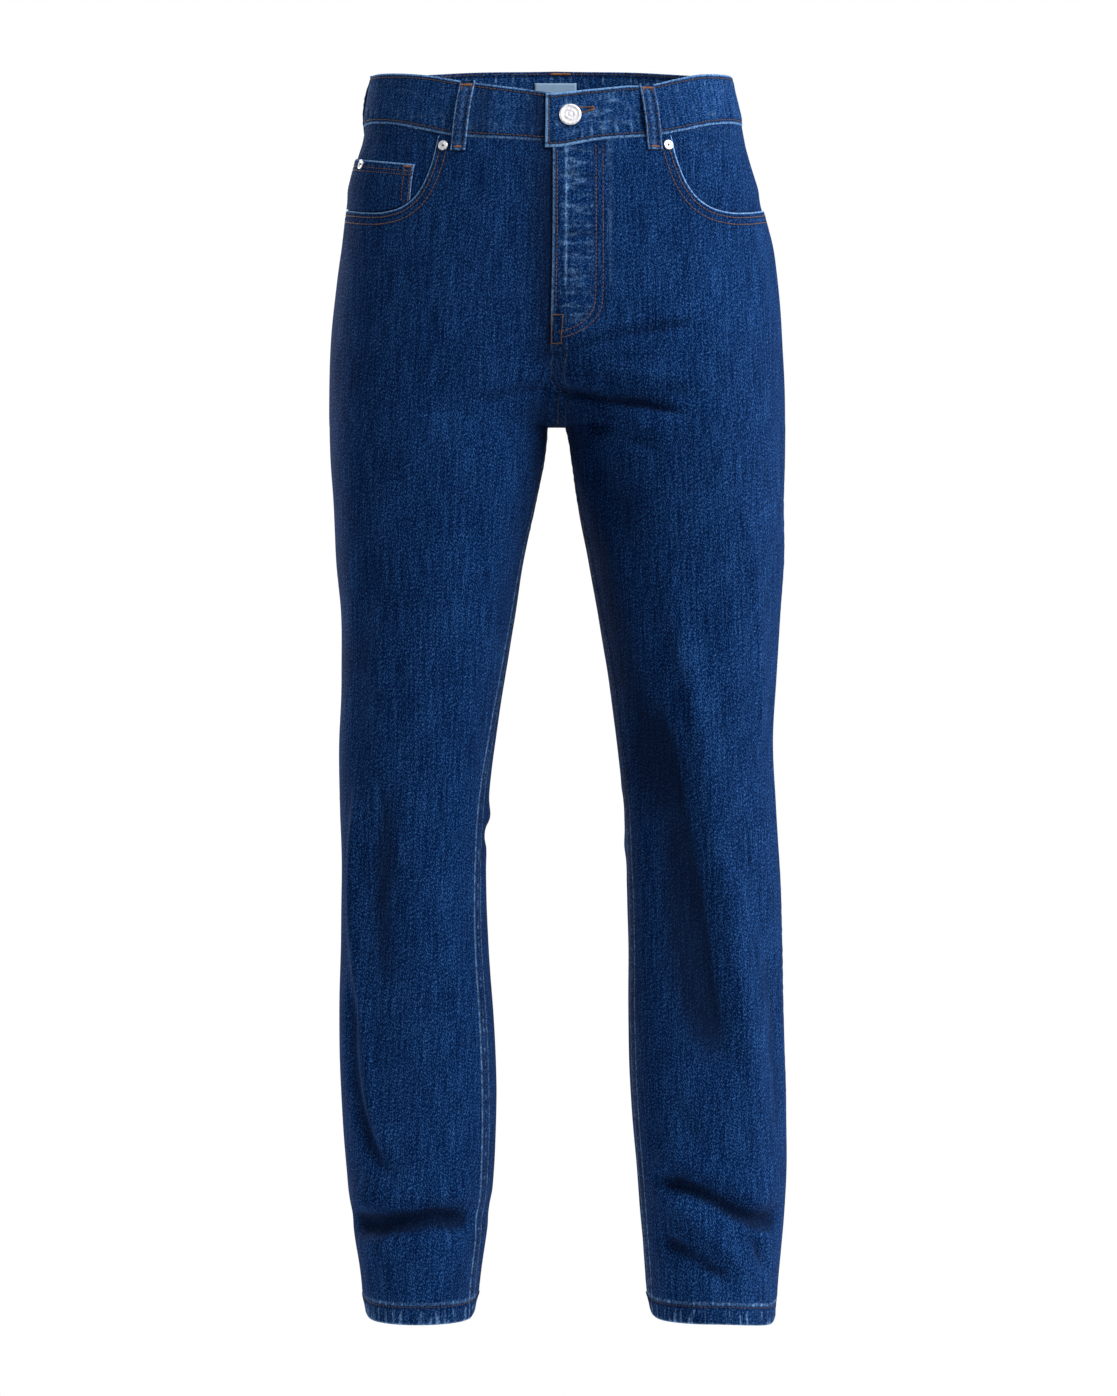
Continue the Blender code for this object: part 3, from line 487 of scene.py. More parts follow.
def ripple(along: Any, wavelength: float, seed: float) -> Any:
    """Uneven waves between -1 and 1, as a row of stitches puckers cloth.

    Args:
        along: Distance along the row.
        wavelength: Usual length of a wave.
        seed: Any number, to make rows differ.

    Returns:
        The waves' height at each distance.
    """
    turn = 2 * pi * np.asarray(along) / wavelength
    slow = 0.9 * np.sin(0.23 * turn + seed) + 0.7 * np.sin(0.41 * turn + 2.3 * seed)
    return (np.sin(turn + slow + seed) + 0.55 * np.sin(1.73 * turn - slow + 3.1 * seed)) / 1.55


class Lattice(NamedTuple):
    """One panel's surface as level rows of points, with each row's own lengths.

    The first cells of a row lie on the strip under the rise seam, which ends at the crotch.
    """

    heights: Array
    strip: Array
    length: Array
    points: Array
    normals: Array


@dataclass
class BodySurface:
    """The surface that every cloth piece lies on, as half rings from the centre to the side seam."""

    row_step: float = 0.002
    top: float = 0.046
    foot: float = -1.048
    strip_cells: int = 8
    ring_cells: int = 220
    crotch_ease: float = 0.05
    crotch_ease_start: float = 0.03
    crotch_ease_across: float = 0.30
    crotch_ease_reach: float = 0.022
    middle_x: float = 0.100
    middle_spread: float = 0.029
    crease_steps: int = 70
    crease_reach: float = 5.0
    crease_fade: float = 0.22
    crease_waver: float = 0.10
    crease_uneven: float = 0.15
    swell: float = 0.00022
    lattices: dict[tuple[Side, Panel], Lattice] = field(init=False)
    middles: dict[tuple[Side, Panel], Array] = field(init=False)
    paths: list[Array] = field(init=False)

    def __post_init__(self) -> None:
        """Works out the panels' lattices, their middle lines and the creases' places about those."""
        self.lattices = {(side, panel): self._lattice(side, panel) for side in Side for panel in Panel}
        self.middles = {key: self._middle(lattice) for key, lattice in self.lattices.items()}
        self.paths = []
        for crease in CREASES:
            along, z = np.array(crease.path).T
            aside = along - self.middle(crease.side, crease.panel, z)
            self.paths.append(np.stack([aside, z], axis=1))

    def cells(self, strip: float, length: float) -> Array:
        """Distances of a row's columns: along its strip, then evenly along the rest."""
        on_strip = np.linspace(0, strip, self.strip_cells, endpoint=False)
        return np.concatenate([on_strip, np.linspace(strip, length, self.ring_cells + 1)])

    def _middle(self, lattice: Lattice) -> Array:
        """Distance at which each row of a lattice crosses the line down the middle of the leg."""
        places = []
        for z, strip, length, points in zip(*lattice[:4]):
            x = self.middle_x - self.middle_spread * (z - RISE_TOP_Z)
            places.append(np.interp(x, np.maximum.accumulate(points[:, 0]), self.cells(strip, length)))
        return np.array(places)

    def middle(self, side: Side, panel: Panel, z: Array) -> Array:
        """Distance from the centre or inseam to the line down the middle of the leg."""
        return np.interp(-z, -self.lattices[side, panel].heights, self.middles[side, panel])

    @staticmethod
    def rounded(value: Array) -> Array:
        """A sine or cosine made a little squarer."""
        return np.sign(value) * np.abs(value) ** ROUNDNESS

    @staticmethod
    def leg_width(side: Side, z: Array) -> Array:
        """Half the width of one leg's ring."""
        name = side.name.lower()
        return (read_table(SECTIONS, name, z) - read_table(INNERS, name, z)) / 2

    def half_depth(self, side: Side, z: Array, low: bool) -> Array:
        """Half the ring from front to back. Both legs have one girth, so the narrower is the deeper.

        Args:
            side: The wearer's side.
            z: The rings' heights.
            low: True below the crotch.

        Returns:
            The half depths.
        """
        depth = (read_table(SECTIONS, "front", z) + read_table(SECTIONS, "back", z)) / 2
        if not low:
            return depth
        mean_width = (self.leg_width(LEFT, z) + self.leg_width(RIGHT, z)) / 2
        free = smooth_step((CROTCH_Z - z) / LEG_EVEN_REACH)
        return np.sqrt(depth**2 + free * (mean_width**2 - self.leg_width(side, z) ** 2))

    def half_ring(self, side: Side, panel: Panel, z: Array, low: bool) -> tuple[Array, Array]:
        """Half rings of a panel, from the centre or inseam to the side seam.

        Args:
            side: The wearer's side.
            panel: Front or back.
            z: The rings' heights.
            low: True below the crotch, where the ring is one leg's.

        Returns:
            The points as (height, point, distance from the middle and depth), and each ring's
            strip under the rise seam.
        """
        name = side.name.lower()
        # Cosine of the half ring's open angle: 0 spans half the body, 1 closes the leg
        closed = np.clip((RISE_TOP_Z - z) / (RISE_TOP_Z - CROTCH_Z), 0, 1) ** RISE_POWER
        inner = read_table(INNERS, name, z)
        if low:
            closed = np.ones_like(z)
        else:
            inner = inner * smooth_step(closed)
        outer = read_table(SECTIONS, name, z)
        half_width = (outer - inner) / (1 + self.rounded(closed))
        middle_y = (read_table(SECTIONS, "back", z) - read_table(SECTIONS, "front", z)) / 2
        facing = panel.value
        inseam_turn = np.radians(read_table(SEAM_TURNS, name + "_inseam", z)) * low
        side_turn = np.radians(read_table(SEAM_TURNS, name + "_side", z))
        start = pi - np.arccos(closed) + facing * inseam_turn
        end = -facing * side_turn
        angle = start[:, None] + (end - start)[:, None] * np.linspace(0, 1, RING_POINTS)
        x = (outer - half_width)[:, None] + half_width[:, None] * self.rounded(np.cos(angle))
        depth = self.half_depth(side, z, low)[:, None] * self.rounded(np.sin(angle))
        if not low:
            depth = np.where(angle > pi / 2, np.maximum(depth, CROTCH_GAP / 2), depth)
        y = middle_y[:, None] + facing * depth
        if not low:
            along = np.linspace(0, 1, STRIP_POINTS, endpoint=False)
            x = np.concatenate([inner[:, None] * along, x], axis=1)
            y = np.concatenate([np.repeat(y[:, :1], STRIP_POINTS, axis=1), y], axis=1)
        ring = np.stack([x, y], axis=2)
        for _ in range(SMOOTHING_PASSES):
            ring[:, 1:-1] = (ring[:, :-2] + 2 * ring[:, 1:-1] + ring[:, 2:]) / 4
        return ring, np.zeros_like(z) if low else inner

    def _lattice(self, side: Side, panel: Panel) -> Lattice:
        """Resamples a panel's rings evenly and eases them through the crotch."""
        near = CROTCH_Z + 0.039 * (1 - np.sin(np.linspace(0, pi / 2, 64)))
        upper = np.concatenate([np.arange(self.top, CROTCH_Z + 0.040, -self.row_step), near])
        lower = np.arange(CROTCH_Z - self.row_step, self.foot, -self.row_step)
        lower = np.concatenate([[CROTCH_Z - 0.0001], lower])
        rows, strips, lengths = [], [], []
        for heights, low in ((upper, False), (lower, True)):
            for ring, strip in zip(*self.half_ring(side, panel, heights, low)):
                arc = arc_lengths(ring)
                rows.append(read_path(self.cells(strip, arc[-1]), arc, ring))
                strips.append(strip)
                lengths.append(arc[-1])
        heights = np.concatenate([upper, lower])
        points = self._eased(np.array(rows), heights)
        tangents = unit(np.gradient(points[:, self.strip_cells :], axis=1))
        tangents = np.concatenate([np.repeat(tangents[:, :1], self.strip_cells, axis=1), tangents], axis=1)
        normals = np.stack([-tangents[:, :, 1], tangents[:, :, 0]], axis=2) * panel.value
        return Lattice(heights, np.array(strips), np.array(lengths), points, normals)

    def _eased(self, points: Array, heights: Array) -> Array:
        """Rows about the crotch drawn level with their neighbours, more so away from the rise seam."""
        apart = heights[:, None] - heights[None, :]
        weights = bell(apart, self.crotch_ease_reach) * np.abs(np.gradient(heights))
        weights /= weights.sum(axis=1, keepdims=True)
        level = np.einsum("ij,jkl->ikl", weights, points)
        across = np.concatenate([np.zeros(self.strip_cells), np.linspace(0, 1, self.ring_cells + 1)])
        free = rise(across, self.crotch_ease_start, self.crotch_ease_across)
        near = bell(heights - CROTCH_Z, self.crotch_ease)
        return points + (near[:, None] * free)[:, :, None] * (level - points)

    def length(self, side: Side, panel: Panel, z: Any) -> Array:
        """Length of a panel's half ring at each height."""
        lattice = self.lattices[side, panel]
        return np.interp(-np.asarray(z, float), -lattice.heights, lattice.length)

    def distance(self, side: Side, panel: Panel, across: Any, z: Any) -> Array:
        """Distance from the centre or inseam for a share of the way across the panel."""
        return GAP / 2 + np.asarray(across, float) * (self.length(side, panel, z) - GAP)

    def at(self, side: Side, panel: Panel, along: Any, z: Any, out: Any = 0.0, folds: bool = True) -> Array:
        """Points on the surface, moved off it along its level normal.

        Args:
            side: The wearer's side.
            panel: Front or back.
            along: Distance from the centre above the crotch, or from the inseam below it.
            z: Height.
            out: How far outwards of the surface.
            folds: False leaves out the folds and the fly's lift, as under the waistband.

        Returns:
            The points, in the shape of along and z, with a last axis of three.
        """
        along, z, out = alike(along, z, out)
        lattice = self.lattices[side, panel]
        rows = np.arange(len(lattice.heights))
        row = np.interp(-z, -lattice.heights, rows)
        strip, length = np.interp(row, rows, lattice.strip), np.interp(row, rows, lattice.length)
        inside = np.clip(along, 0, length)
        on_strip = self.strip_cells * inside / np.maximum(strip, 1e-9)
        on_ring = self.strip_cells + self.ring_cells * (inside - strip) / (length - strip)
        column = np.where(inside < strip, on_strip, on_ring)
        if folds:
            out = out + self.relief(side, panel, along, z, length)
        normal = unit(read_cells(lattice.normals, row, column))
        place = read_cells(lattice.points, row, column) + out[..., None] * normal
        x = place[..., 0] + np.minimum(along, 0)
        name = side.name.lower()
        inner, outer = read_table(INNERS, name, HEM_Z), read_table(SECTIONS, name, HEM_Z)
        aside = 2 * (x - (inner + outer) / 2) / (outer - inner)
        corner = np.minimum(np.abs(aside), 1.04) ** HEM_SQUARENESS
        x = x - HEM_TUCK * np.sign(aside) * corner * smooth_step((HEM_Z + 0.012 - z) / 0.012)
        z = z + HEM_CORNER * corner * smooth_step((HEM_Z + 0.030 - z) / 0.030)
        return np.stack([x * side.value, place[..., 1], z], axis=-1)

    def relief(self, side: Side, panel: Panel, along: Array, z: Array, length: Array) -> Array:
        """Height of the folds, creases and the fly's lift.

        Args:
            side: The wearer's side.
            panel: Front or back.
            along: Distance from the centre or inseam.
            z: Height.
            length: Length of the half ring at that height.

        Returns:
            How far the cloth stands off the plain surface.
        """
        relief = np.zeros_like(z)
        for fold in FOLDS:
            if (fold.side, fold.panel) == (side, panel):
                level, up, tilt = along - fold.across * length, z - fold.z, radians(fold.tilt)
                ahead = level * np.cos(tilt) + up * np.sin(tilt)
                over = up * np.cos(tilt) - level * np.sin(tilt)
                relief = relief + fold.depth * bell(ahead, fold.length) * bell(over, fold.width)
        aside = along - self.middle(side, panel, z)
        for number, crease in enumerate(CREASES):
            if (crease.side, crease.panel) == (side, panel):
                relief = relief + self.crease_relief(crease, self.paths[number], aside, z, number)
        relief = relief + self.unevenness(aside, z, side.value + 2.0 * panel.value)
        if panel is FRONT:
            ends = fall(z, -0.076, 0.020) * rise(z, -0.262, 0.040)
            relief = relief + CENTRE_RISE * ends * bell(along, 0.017 if side is RIGHT else 0.036)
        if (side, panel) == (LEFT, FRONT):
            ended = rise(z, FLY_END_Z - FLY_END_EASE, FLY_END_EASE)
            relief = relief + FLY_LIFT * fall(along, 0, FLY_WIDTH) * ended
        return relief

    def crease_relief(self, crease: Crease, path: Array, aside: Array, z: Array, seed: float) -> Array:
        """Height of one crease: deepest along its middle, wavering a little, with its lip beside it.

        Args:
            crease: The crease.
            path: Its path, as distances from the middle of the leg and heights.
            aside: Distance from the middle of the leg.
            z: Height.
            seed: Any number, to make creases waver apart.

        Returns:
            How far it lifts the cloth.
        """
        arc = arc_lengths(path)
        at = np.linspace(0, arc[-1], self.crease_steps)
        track = np.stack([read_curve(arc, column, at) for column in path.T], axis=1)
        relief = np.zeros_like(z)
        reach = self.crease_reach * crease.width
        low, high = track.min(axis=0) - reach, track.max(axis=0) + reach
        near = (aside > low[0]) & (aside < high[0]) & (z > low[1]) & (z < high[1])
        if not near.any():
            return relief
        places = np.stack([aside[near], z[near]], axis=1)
        closest = ((places[:, None, :] - track[None, :, :]) ** 2).sum(axis=2).argmin(axis=1)
        direction = unit(np.gradient(track, axis=0))[closest]
        offset = places - track[closest]
        t = (at[closest] + (offset * direction).sum(axis=1)) / arc[-1]
        upward = 1 if path[-1, 0] >= path[0, 0] else -1
        over = upward * (offset[:, 1] * direction[:, 0] - offset[:, 0] * direction[:, 1])
        over = over - self.crease_waver * crease.width * np.sin(9 * t + seed)
        held = np.clip(t, 0, 1)
        fade = smooth_step(held / self.crease_fade) * smooth_step((1 - held) / self.crease_fade)
        fade = fade * (1 + self.crease_uneven * np.sin(11 * t + 2 * seed))
        width = crease.width * np.where(over > 0, 1 + crease.skew, 1)
        lip = crease.lip * bell(over - 1.8 * width, 1.3 * width)
        relief[near] = fade * (crease.depth * bell(over, width) + lip)
        return relief

    def unevenness(self, aside: Array, z: Array, seed: float) -> Array:
        """Soft uneven swells of the cloth, longer down than across."""
        swell = np.sin(aside * 74 + 9 * z + seed) * np.sin(z * 41 + 1.7 * seed + 12 * aside)
        finer = np.sin(aside * 131 - 23 * z + 2.1 * seed) * np.sin(z * 77 + 31 * aside + seed)
        return self.swell * (swell + 0.6 * finer)


def band_edge(side: Side, panel: Panel, across: Any, edge: str) -> Array:
    """Height of the waistband's edge.

    Args:
        side: The wearer's side.
        panel: Front or back.
        across: Share of the way from the centre to the side seam.
        edge: "top" or "bottom".

    Returns:
        The heights.
    """
    across = np.asarray(across, float)
    column = f"top_{side.name.lower()}" if edge == "top" else edge
    height = read_table(BAND_EDGES, column, across if panel is FRONT else 2 - across, place="round")
    if (side, panel, edge) == (LEFT, FRONT, "bottom"):
        height = height - TAB_DIP * bell(across, TAB_DIP_REACH)
    return height


def yoke_seam(across: Any) -> Array:
    """Height of the yoke's lower edge, which dips to the centre back."""
    return YOKE_BACK_Z + (YOKE_SIDE_Z - YOKE_BACK_Z) * np.clip(across, 0, 1) ** YOKE_POWER


def pocket_edge(across: Any) -> Array:
    """Height of the front pocket opening."""
    return np.interp(across, *np.array(POCKET_EDGES).T)


def outward_of(side: Side, panel: Panel) -> int:
    """Which way a grid that runs down and away from the centre faces: 1 or -1."""
    return -side.value * panel.value


@dataclass(frozen=True)
class Wire:
    """A node's output, whose operators add Math nodes."""

    graph: "NodeGraph"
    socket: Any

    def _math(self, operation: str, first: Any, second: Any) -> "Wire":
        """The result of a Math node."""
        return self.graph.node("ShaderNodeMath", {"operation": operation}, {0: first, 1: second})

    def __add__(self, other: Any) -> "Wire":
        """self + other."""
        return self._math("ADD", self, other)

    def __radd__(self, other: float) -> "Wire":
        """other + self."""
        return self._math("ADD", other, self)

    def __sub__(self, other: Any) -> "Wire":
        """self - other."""
        return self._math("SUBTRACT", self, other)

    def __rsub__(self, other: float) -> "Wire":
        """other - self."""
        return self._math("SUBTRACT", other, self)

    def __mul__(self, other: Any) -> "Wire":
        """self * other."""
        return self._math("MULTIPLY", self, other)

    def __rmul__(self, other: float) -> "Wire":
        """other * self."""
        return self._math("MULTIPLY", other, self)

    def clamped(self) -> "Wire":
        """The value held between 0 and 1."""
        return self.graph.node("ShaderNodeClamp", {}, {"Value": self})

    def between(self, low: float, high: float) -> "Wire":
        """A soft rise from 0 at low to 1 at high."""
        sockets = {"Value": self, "From Min": low, "From Max": high}
        return self.graph.node("ShaderNodeMapRange", {"interpolation_type": "SMOOTHSTEP"}, sockets)


class Speckle(NamedTuple):
    """Noise over cloth: a mark's width and length, its finer levels and their strength, its turn."""

    width: float
    length: float
    detail: float = 3.0
    rough: float = 0.6
    turn: float = 0.0


@dataclass
class NodeGraph:
    """A material's nodes, or another node tree's."""

    tree: Any

    def node(self, kind: str, settings: dict[str, Any], sockets: dict[Any, Any], output: Any = 0) -> Wire:
        """Adds a node.

        Args:
            kind: The node's type.
            settings: Its properties, set before its sockets. "stops" gives a ramp's places and colours.
            sockets: Values or wires for its inputs, by name or number.
            output: Name or number of the output to return.

        Returns:
            That output.
        """
        made = self.tree.nodes.new(kind)
        for name, value in settings.items():
            if name == "stops":
                self._set_ramp(made.color_ramp, value)
            else:
                setattr(made, name, value)
        self.plug(made, sockets)
        return Wire(self, made.outputs[output])

    def plug(self, node: Any, sockets: dict[Any, Any]) -> None:
        """Sets or links a node's inputs.

        Args:
            node: The node.
            sockets: Values or wires, by the input's name or number.
        """
        for name, value in sockets.items():
            if isinstance(value, Wire):
                self.tree.links.new(value.socket, node.inputs[name])
            else:
                node.inputs[name].default_value = value

    @staticmethod
    def _set_ramp(ramp: Any, stops: Sequence[tuple[float, Colour]]) -> None:
        """Gives a colour ramp these stops."""
        while len(ramp.elements) < len(stops):
            ramp.elements.new(1.0)
        for element, (place, colour) in zip(ramp.elements, stops):
            element.position = place
            element.color = (*colour, 1)

    def mix(self, factor: Any, first: Any, second: Any) -> Wire:
        """A mix of two colours or wires, with this much of the second."""
        pair = [value if isinstance(value, Wire) else (*value, 1) for value in (first, second)]
        return self.node("ShaderNodeMix", {"data_type": "RGBA"}, {0: factor, 6: pair[0], 7: pair[1]}, 2)

    def attribute(self, name: str) -> Wire:
        """A number that the mesh carries."""
        return self.node("ShaderNodeAttribute", {"attribute_name": name}, {}, "Fac")

    def cloth_place(self, width: float, length: float, turn: float = 0.0) -> Wire:
        """The place on the cloth as a vector, in marks of a width and length, turned by degrees."""
        flat = self.node("ShaderNodeUVMap", {"uv_map": "cloth"}, {}, "UV")
        spin = {0: flat, "Angle": radians(turn)}
        turned = self.node("ShaderNodeVectorRotate", {"rotation_type": "Z_AXIS"}, spin)
        size = {0: turned, 1: (1 / width, 1 / length, 1)}
        return self.node("ShaderNodeVectorMath", {"operation": "MULTIPLY"}, size)

    def noise(self, mark: Speckle) -> Wire:
        """Noise over the cloth, about 0.5."""
        place = self.cloth_place(mark.width, mark.length, mark.turn)
        sockets = {"Vector": place, "Scale": 1.0, "Detail": mark.detail, "Roughness": mark.rough}
        return self.node("ShaderNodeTexNoise", {"noise_dimensions": "2D"}, sockets)

    def grain(self, scale: float, detail: float) -> Wire:
        """Noise through a solid, about 0.5."""
        place = self.node("ShaderNodeTexCoord", {}, {}, "Object")
        return self.node("ShaderNodeTexNoise", {}, {"Vector": place, "Scale": scale, "Detail": detail})

    def bump(self, strength: float, distance: float, height: Wire) -> Wire:
        """A normal bent by a height."""
        return self.node("ShaderNodeBump", {}, {"Strength": strength, "Distance": distance, "Height": height})


@dataclass(frozen=True)
class Finish:
    """A finish, by its material's name."""

    name: str

    def material(self) -> Any:
        """Builds the finish.

        Returns:
            The material.
        """
        material = bpy.data.materials.new(self.name)
        material.use_nodes = True
        graph = NodeGraph(material.node_tree)
        graph.plug(material.node_tree.nodes["Principled BSDF"], self.sockets(graph))
        return material

    def sockets(self, graph: NodeGraph) -> dict[str, Any]:
        """Values and wires for the shader's sockets."""
        raise NotImplementedError


@dataclass(frozen=True)
class Denim(Finish):
    """Indigo twill with pale flecks, streaks down the warp, pale wear that is partly painted highlight, and
    painted shade in grooves and creases.
    """

    deep: Colour = (0.0006, 0.0066, 0.0360)
    middle: Colour = (0.0018, 0.0207, 0.0930)
    pale: Colour = (0.0370, 0.1310, 0.3750)
    worn: Colour = (0.1900, 0.3800, 0.7000)
    # Colour of the painted shade
    shade: Colour = (0.0035, 0.0080, 0.0260)
    tone: float = 0.205
    fleck: float = 0.60
    turn: float = -28.0
    broad_marks: Speckle = Speckle(0.030, 0.060)
    streak_marks: Speckle = Speckle(0.0022, 0.040)
    fleck_marks: Speckle = Speckle(0.00078, 0.0020, 1.0)
    grain_marks: Speckle = Speckle(0.0009, 0.0015, 0.0, 0.5)
    rope_marks: Speckle = Speckle(0.0042, 0.0400, 2.0, 0.5)
    draw_marks: Speckle = Speckle(0.0180, 0.0052)
    spot_marks: Speckle = Speckle(0.0016, 0.0022, 3.0, 0.7, 20.0)
    rib: float = 0.0011
    rib_turn: float = 24.0

    def sockets(self, graph: NodeGraph) -> dict[str, Any]:
        """Values and wires for the shader's sockets."""
        broad, streak = graph.noise(self.broad_marks), graph.noise(self.streak_marks)
        fleck = graph.noise(self.fleck_marks._replace(turn=self.turn)).between(0.44, 0.72)
        grain = graph.noise(self.grain_marks._replace(turn=self.turn))
        tone = self.tone + 0.26 * (broad - 0.5) + 0.80 * (streak - 0.5) + 0.55 * (grain - 0.5)
        tone = (tone + self.fleck * fleck).clamped()
        stops = ((0.0, self.deep), (0.42, self.middle), (1.0, self.pale))
        base = graph.node("ShaderNodeValToRGB", {"stops": stops}, {0: tone}, "Color")
        rope = graph.noise(self.rope_marks).between(0.48, 0.70) * graph.attribute("rope")
        draw = graph.noise(self.draw_marks).between(0.44, 0.72) * graph.attribute("draw")
        # Pale marks: real wear, roping and draws, with some painted highlight on fold ridges, an inseam edge
        # and the top of a pocket facing
        rubbed_and_lit = graph.attribute("wear") + 0.60 * rope + 0.42 * draw
        spots = graph.noise(self.spot_marks).between(0.30, 0.70)
        patchy = (rubbed_and_lit * (0.40 + 1.2 * spots)).between(0.03, 1.0)
        worn = graph.mix(patchy, base, self.worn)
        # Painted shade: the mesh's shade mask darkens creases, sewn grooves and cloth beside raised parts
        # towards the shade colour
        shaded = graph.mix((graph.attribute("groove") * 0.75).clamped(), worn, self.shade)
        place = graph.cloth_place(self.rib, self.rib, self.rib_turn)
        diagonal = {"Vector": place, "Scale": 1.0, "Distortion": 0.6}
        twill = graph.node("ShaderNodeTexWave", {"bands_direction": "X"}, diagonal, "Fac")
        bump = graph.bump(0.35, 0.00025, 0.5 * twill + 0.6 * grain + 0.5 * fleck)
        return {"Base Color": shaded, "Roughness": 0.97 - 0.10 * tone, "Normal": bump,
                "Sheen Weight": 0.008, "Sheen Roughness": 0.5, "Specular IOR Level": 0.03}


@dataclass(frozen=True)
class Thread(Finish):
    """Twisted sewing thread."""

    colour: Colour
    dark: Colour

    def sockets(self, graph: NodeGraph) -> dict[str, Any]:
        """Values and wires for the shader's sockets."""
        colour = graph.mix(graph.grain(260.0, 3.0).between(0.35, 0.65), self.dark, self.colour)
        fine = graph.grain(2600.0, 2.0)
        bump = graph.bump(0.4, 0.0001, fine)
        return {"Base Color": colour, "Roughness": 0.62 + 0.2 * fine, "Normal": bump, "Sheen Weight": 0.15}


@dataclass(frozen=True)
class Silver(Finish):
    """Polished silver-coloured metal with fine scratches and dull hollows."""

    colour: Colour
    roughness: float = 0.40

    def sockets(self, graph: NodeGraph) -> dict[str, Any]:
        """Values and wires for the shader's sockets."""
        soil = graph.grain(420.0, 4.0)
        darker = tuple(0.62 * part for part in self.colour)
        colour = graph.mix(soil.between(0.42, 0.62), self.colour, darker)
        rough = self.roughness + 0.18 * soil.between(0.45, 0.65)
        bump = graph.bump(0.15, 0.0001, graph.grain(2400.0, 3.0))
        return {"Base Color": colour, "Roughness": rough, "Metallic": 1.0, "Normal": bump}


@dataclass(frozen=True)
class LabelWeave(Finish):
    """A fine flat woven ribbon."""

    colour: Colour = (0.29, 0.45, 0.66)
    rib: float = 0.0007
    marks: Speckle = Speckle(0.004, 0.003, 3.0, 0.5)

    def sockets(self, graph: NodeGraph) -> dict[str, Any]:
        """Values and wires for the shader's sockets."""
        place = {"Vector": graph.cloth_place(self.rib, self.rib), "Scale": 1.0}
        rib = graph.node("ShaderNodeTexWave", {"bands_direction": "Y"}, place, "Fac")
        patch = graph.noise(self.marks)
        darker = tuple(0.6 * part for part in self.colour)
        colour = graph.mix(0.25 * rib + 0.35 * patch, self.colour, darker)
        return {"Base Color": colour, "Roughness": 0.6 + 0.15 * patch,
                "Normal": graph.bump(0.3, 0.0001, rib), "Sheen Weight": 0.2}


@dataclass(frozen=True)
class Floor(Finish):
    """A plain pale studio floor."""

    name: str = "studio_floor"
    colour: Colour = (0.93, 0.93, 0.93)

    def sockets(self, graph: NodeGraph) -> dict[str, Any]:
        """Values for the shader's sockets."""
        return {"Base Color": (*self.colour, 1), "Roughness": 0.9, "Specular IOR Level": 0.1}


def add_object(mesh: Any, *materials: Any) -> Any:
    """Adds a mesh to the scene, shaded smooth, as an object of its name.

    Args:
        mesh: The mesh.
        materials: Its finishes, in the order of their slots.

    Returns:
        The object.
    """
    for material in materials:
        mesh.materials.append(material)
    mesh.shade_smooth()
    obj = bpy.data.objects.new(mesh.name, mesh)
    bpy.context.scene.collection.objects.link(obj)
    return obj


def finished_mesh(name: str, made: Any) -> Any:
    """A mesh of this name from an edit mesh, which is freed."""
    mesh = bpy.data.meshes.new(name)
    made.to_mesh(mesh)
    made.free()
    return mesh


def dress(obj: Any, slot: str, *nodes: str) -> None:
    """Puts a piece in place of its solids, which it hides, and has it ride with the body."""
    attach(obj, "root")
    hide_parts(*nodes)


@dataclass
class ClothGrid:
    """A grid of cloth points and what its finish reads there. Rows run down from the free edge."""

    points: Array
    flat: Array
    marks: dict[str, Array]
    outward: int
    closed: bool = False
    weld_reach: float = 1e-6

    def build(self, node: str, wall: float, faces: Sequence[Any], slot: str = "denim",
              kind: str = "cloth") -> Any:
        """Makes the cloth as a wall that grows inwards from the grid, in place of its solid.

        Args:
            node: The solid's name.
            wall: The cloth's thickness.
            faces: Finishes of its face side and its wrong side.
            slot: The solid's material slot; not used.
            kind: What it is, as the end of its name.

        Returns:
            The object.
        """
        rows, columns = self.points.shape[:2]
        index = np.arange(rows * columns).reshape(rows, columns)
        after = np.roll(index, -1, axis=1) if self.closed else index[:, 1:]
        before = index if self.closed else index[:, :-1]
        corners = np.stack([before[:-1], before[1:], after[1:], after[:-1]], axis=-1).reshape(-1, 4)
        if self.outward < 0:
            corners = corners[:, ::-1]
        mesh = bpy.data.meshes.new(f"{node}_{kind}")
        mesh.from_pydata(self.points.reshape(-1, 3).tolist(), [], corners.tolist())
        for key in ("wear", "groove", "rope", "draw"):
            values = np.broadcast_to(self.marks.get(key, 0.0), (rows, columns))
            layer = mesh.attributes.new(key, "FLOAT", "POINT")
            layer.data.foreach_set("value", np.clip(values, 0, 1).ravel().astype(np.float32))
        uv = mesh.uv_layers.new(name="cloth")
        uv.data.foreach_set("uv", self.flat.reshape(-1, 2)[corners.ravel()].ravel().astype(np.float32))
        self._weld(mesh)
        obj = add_object(mesh, *faces)
        solid = obj.modifiers.new("wall", "SOLIDIFY")
        solid.thickness = wall
        solid.offset = -1
        solid.material_offset = 1
        dress(obj, slot, node)
        return obj

    def _weld(self, mesh: Any) -> None:
        """Joins points that a seam draws together, and drops the faces between them."""
        cloth = bmesh.new()
        cloth.from_mesh(mesh)
        bmesh.ops.remove_doubles(cloth, verts=cloth.verts, dist=self.weld_reach)
        cloth.to_mesh(mesh)
        cloth.free()


@dataclass
class Patch:
    """A surface read by two distances and an offset, with the sign that turns its normal outwards."""

    place: Callable[[Any, Any, Any], Array]
    outward: int
    reach: float = 0.0006

    def normal(self, along: Array, height: Array, out: Any) -> Array:
        """Unit normals at places on the surface."""
        middle = self.place(along, height, out)
        level = self.place(along + self.reach, height, out) - middle
        upward = self.place(along, height + self.reach, out) - middle
        return unit(np.cross(level, upward) * self.outward)


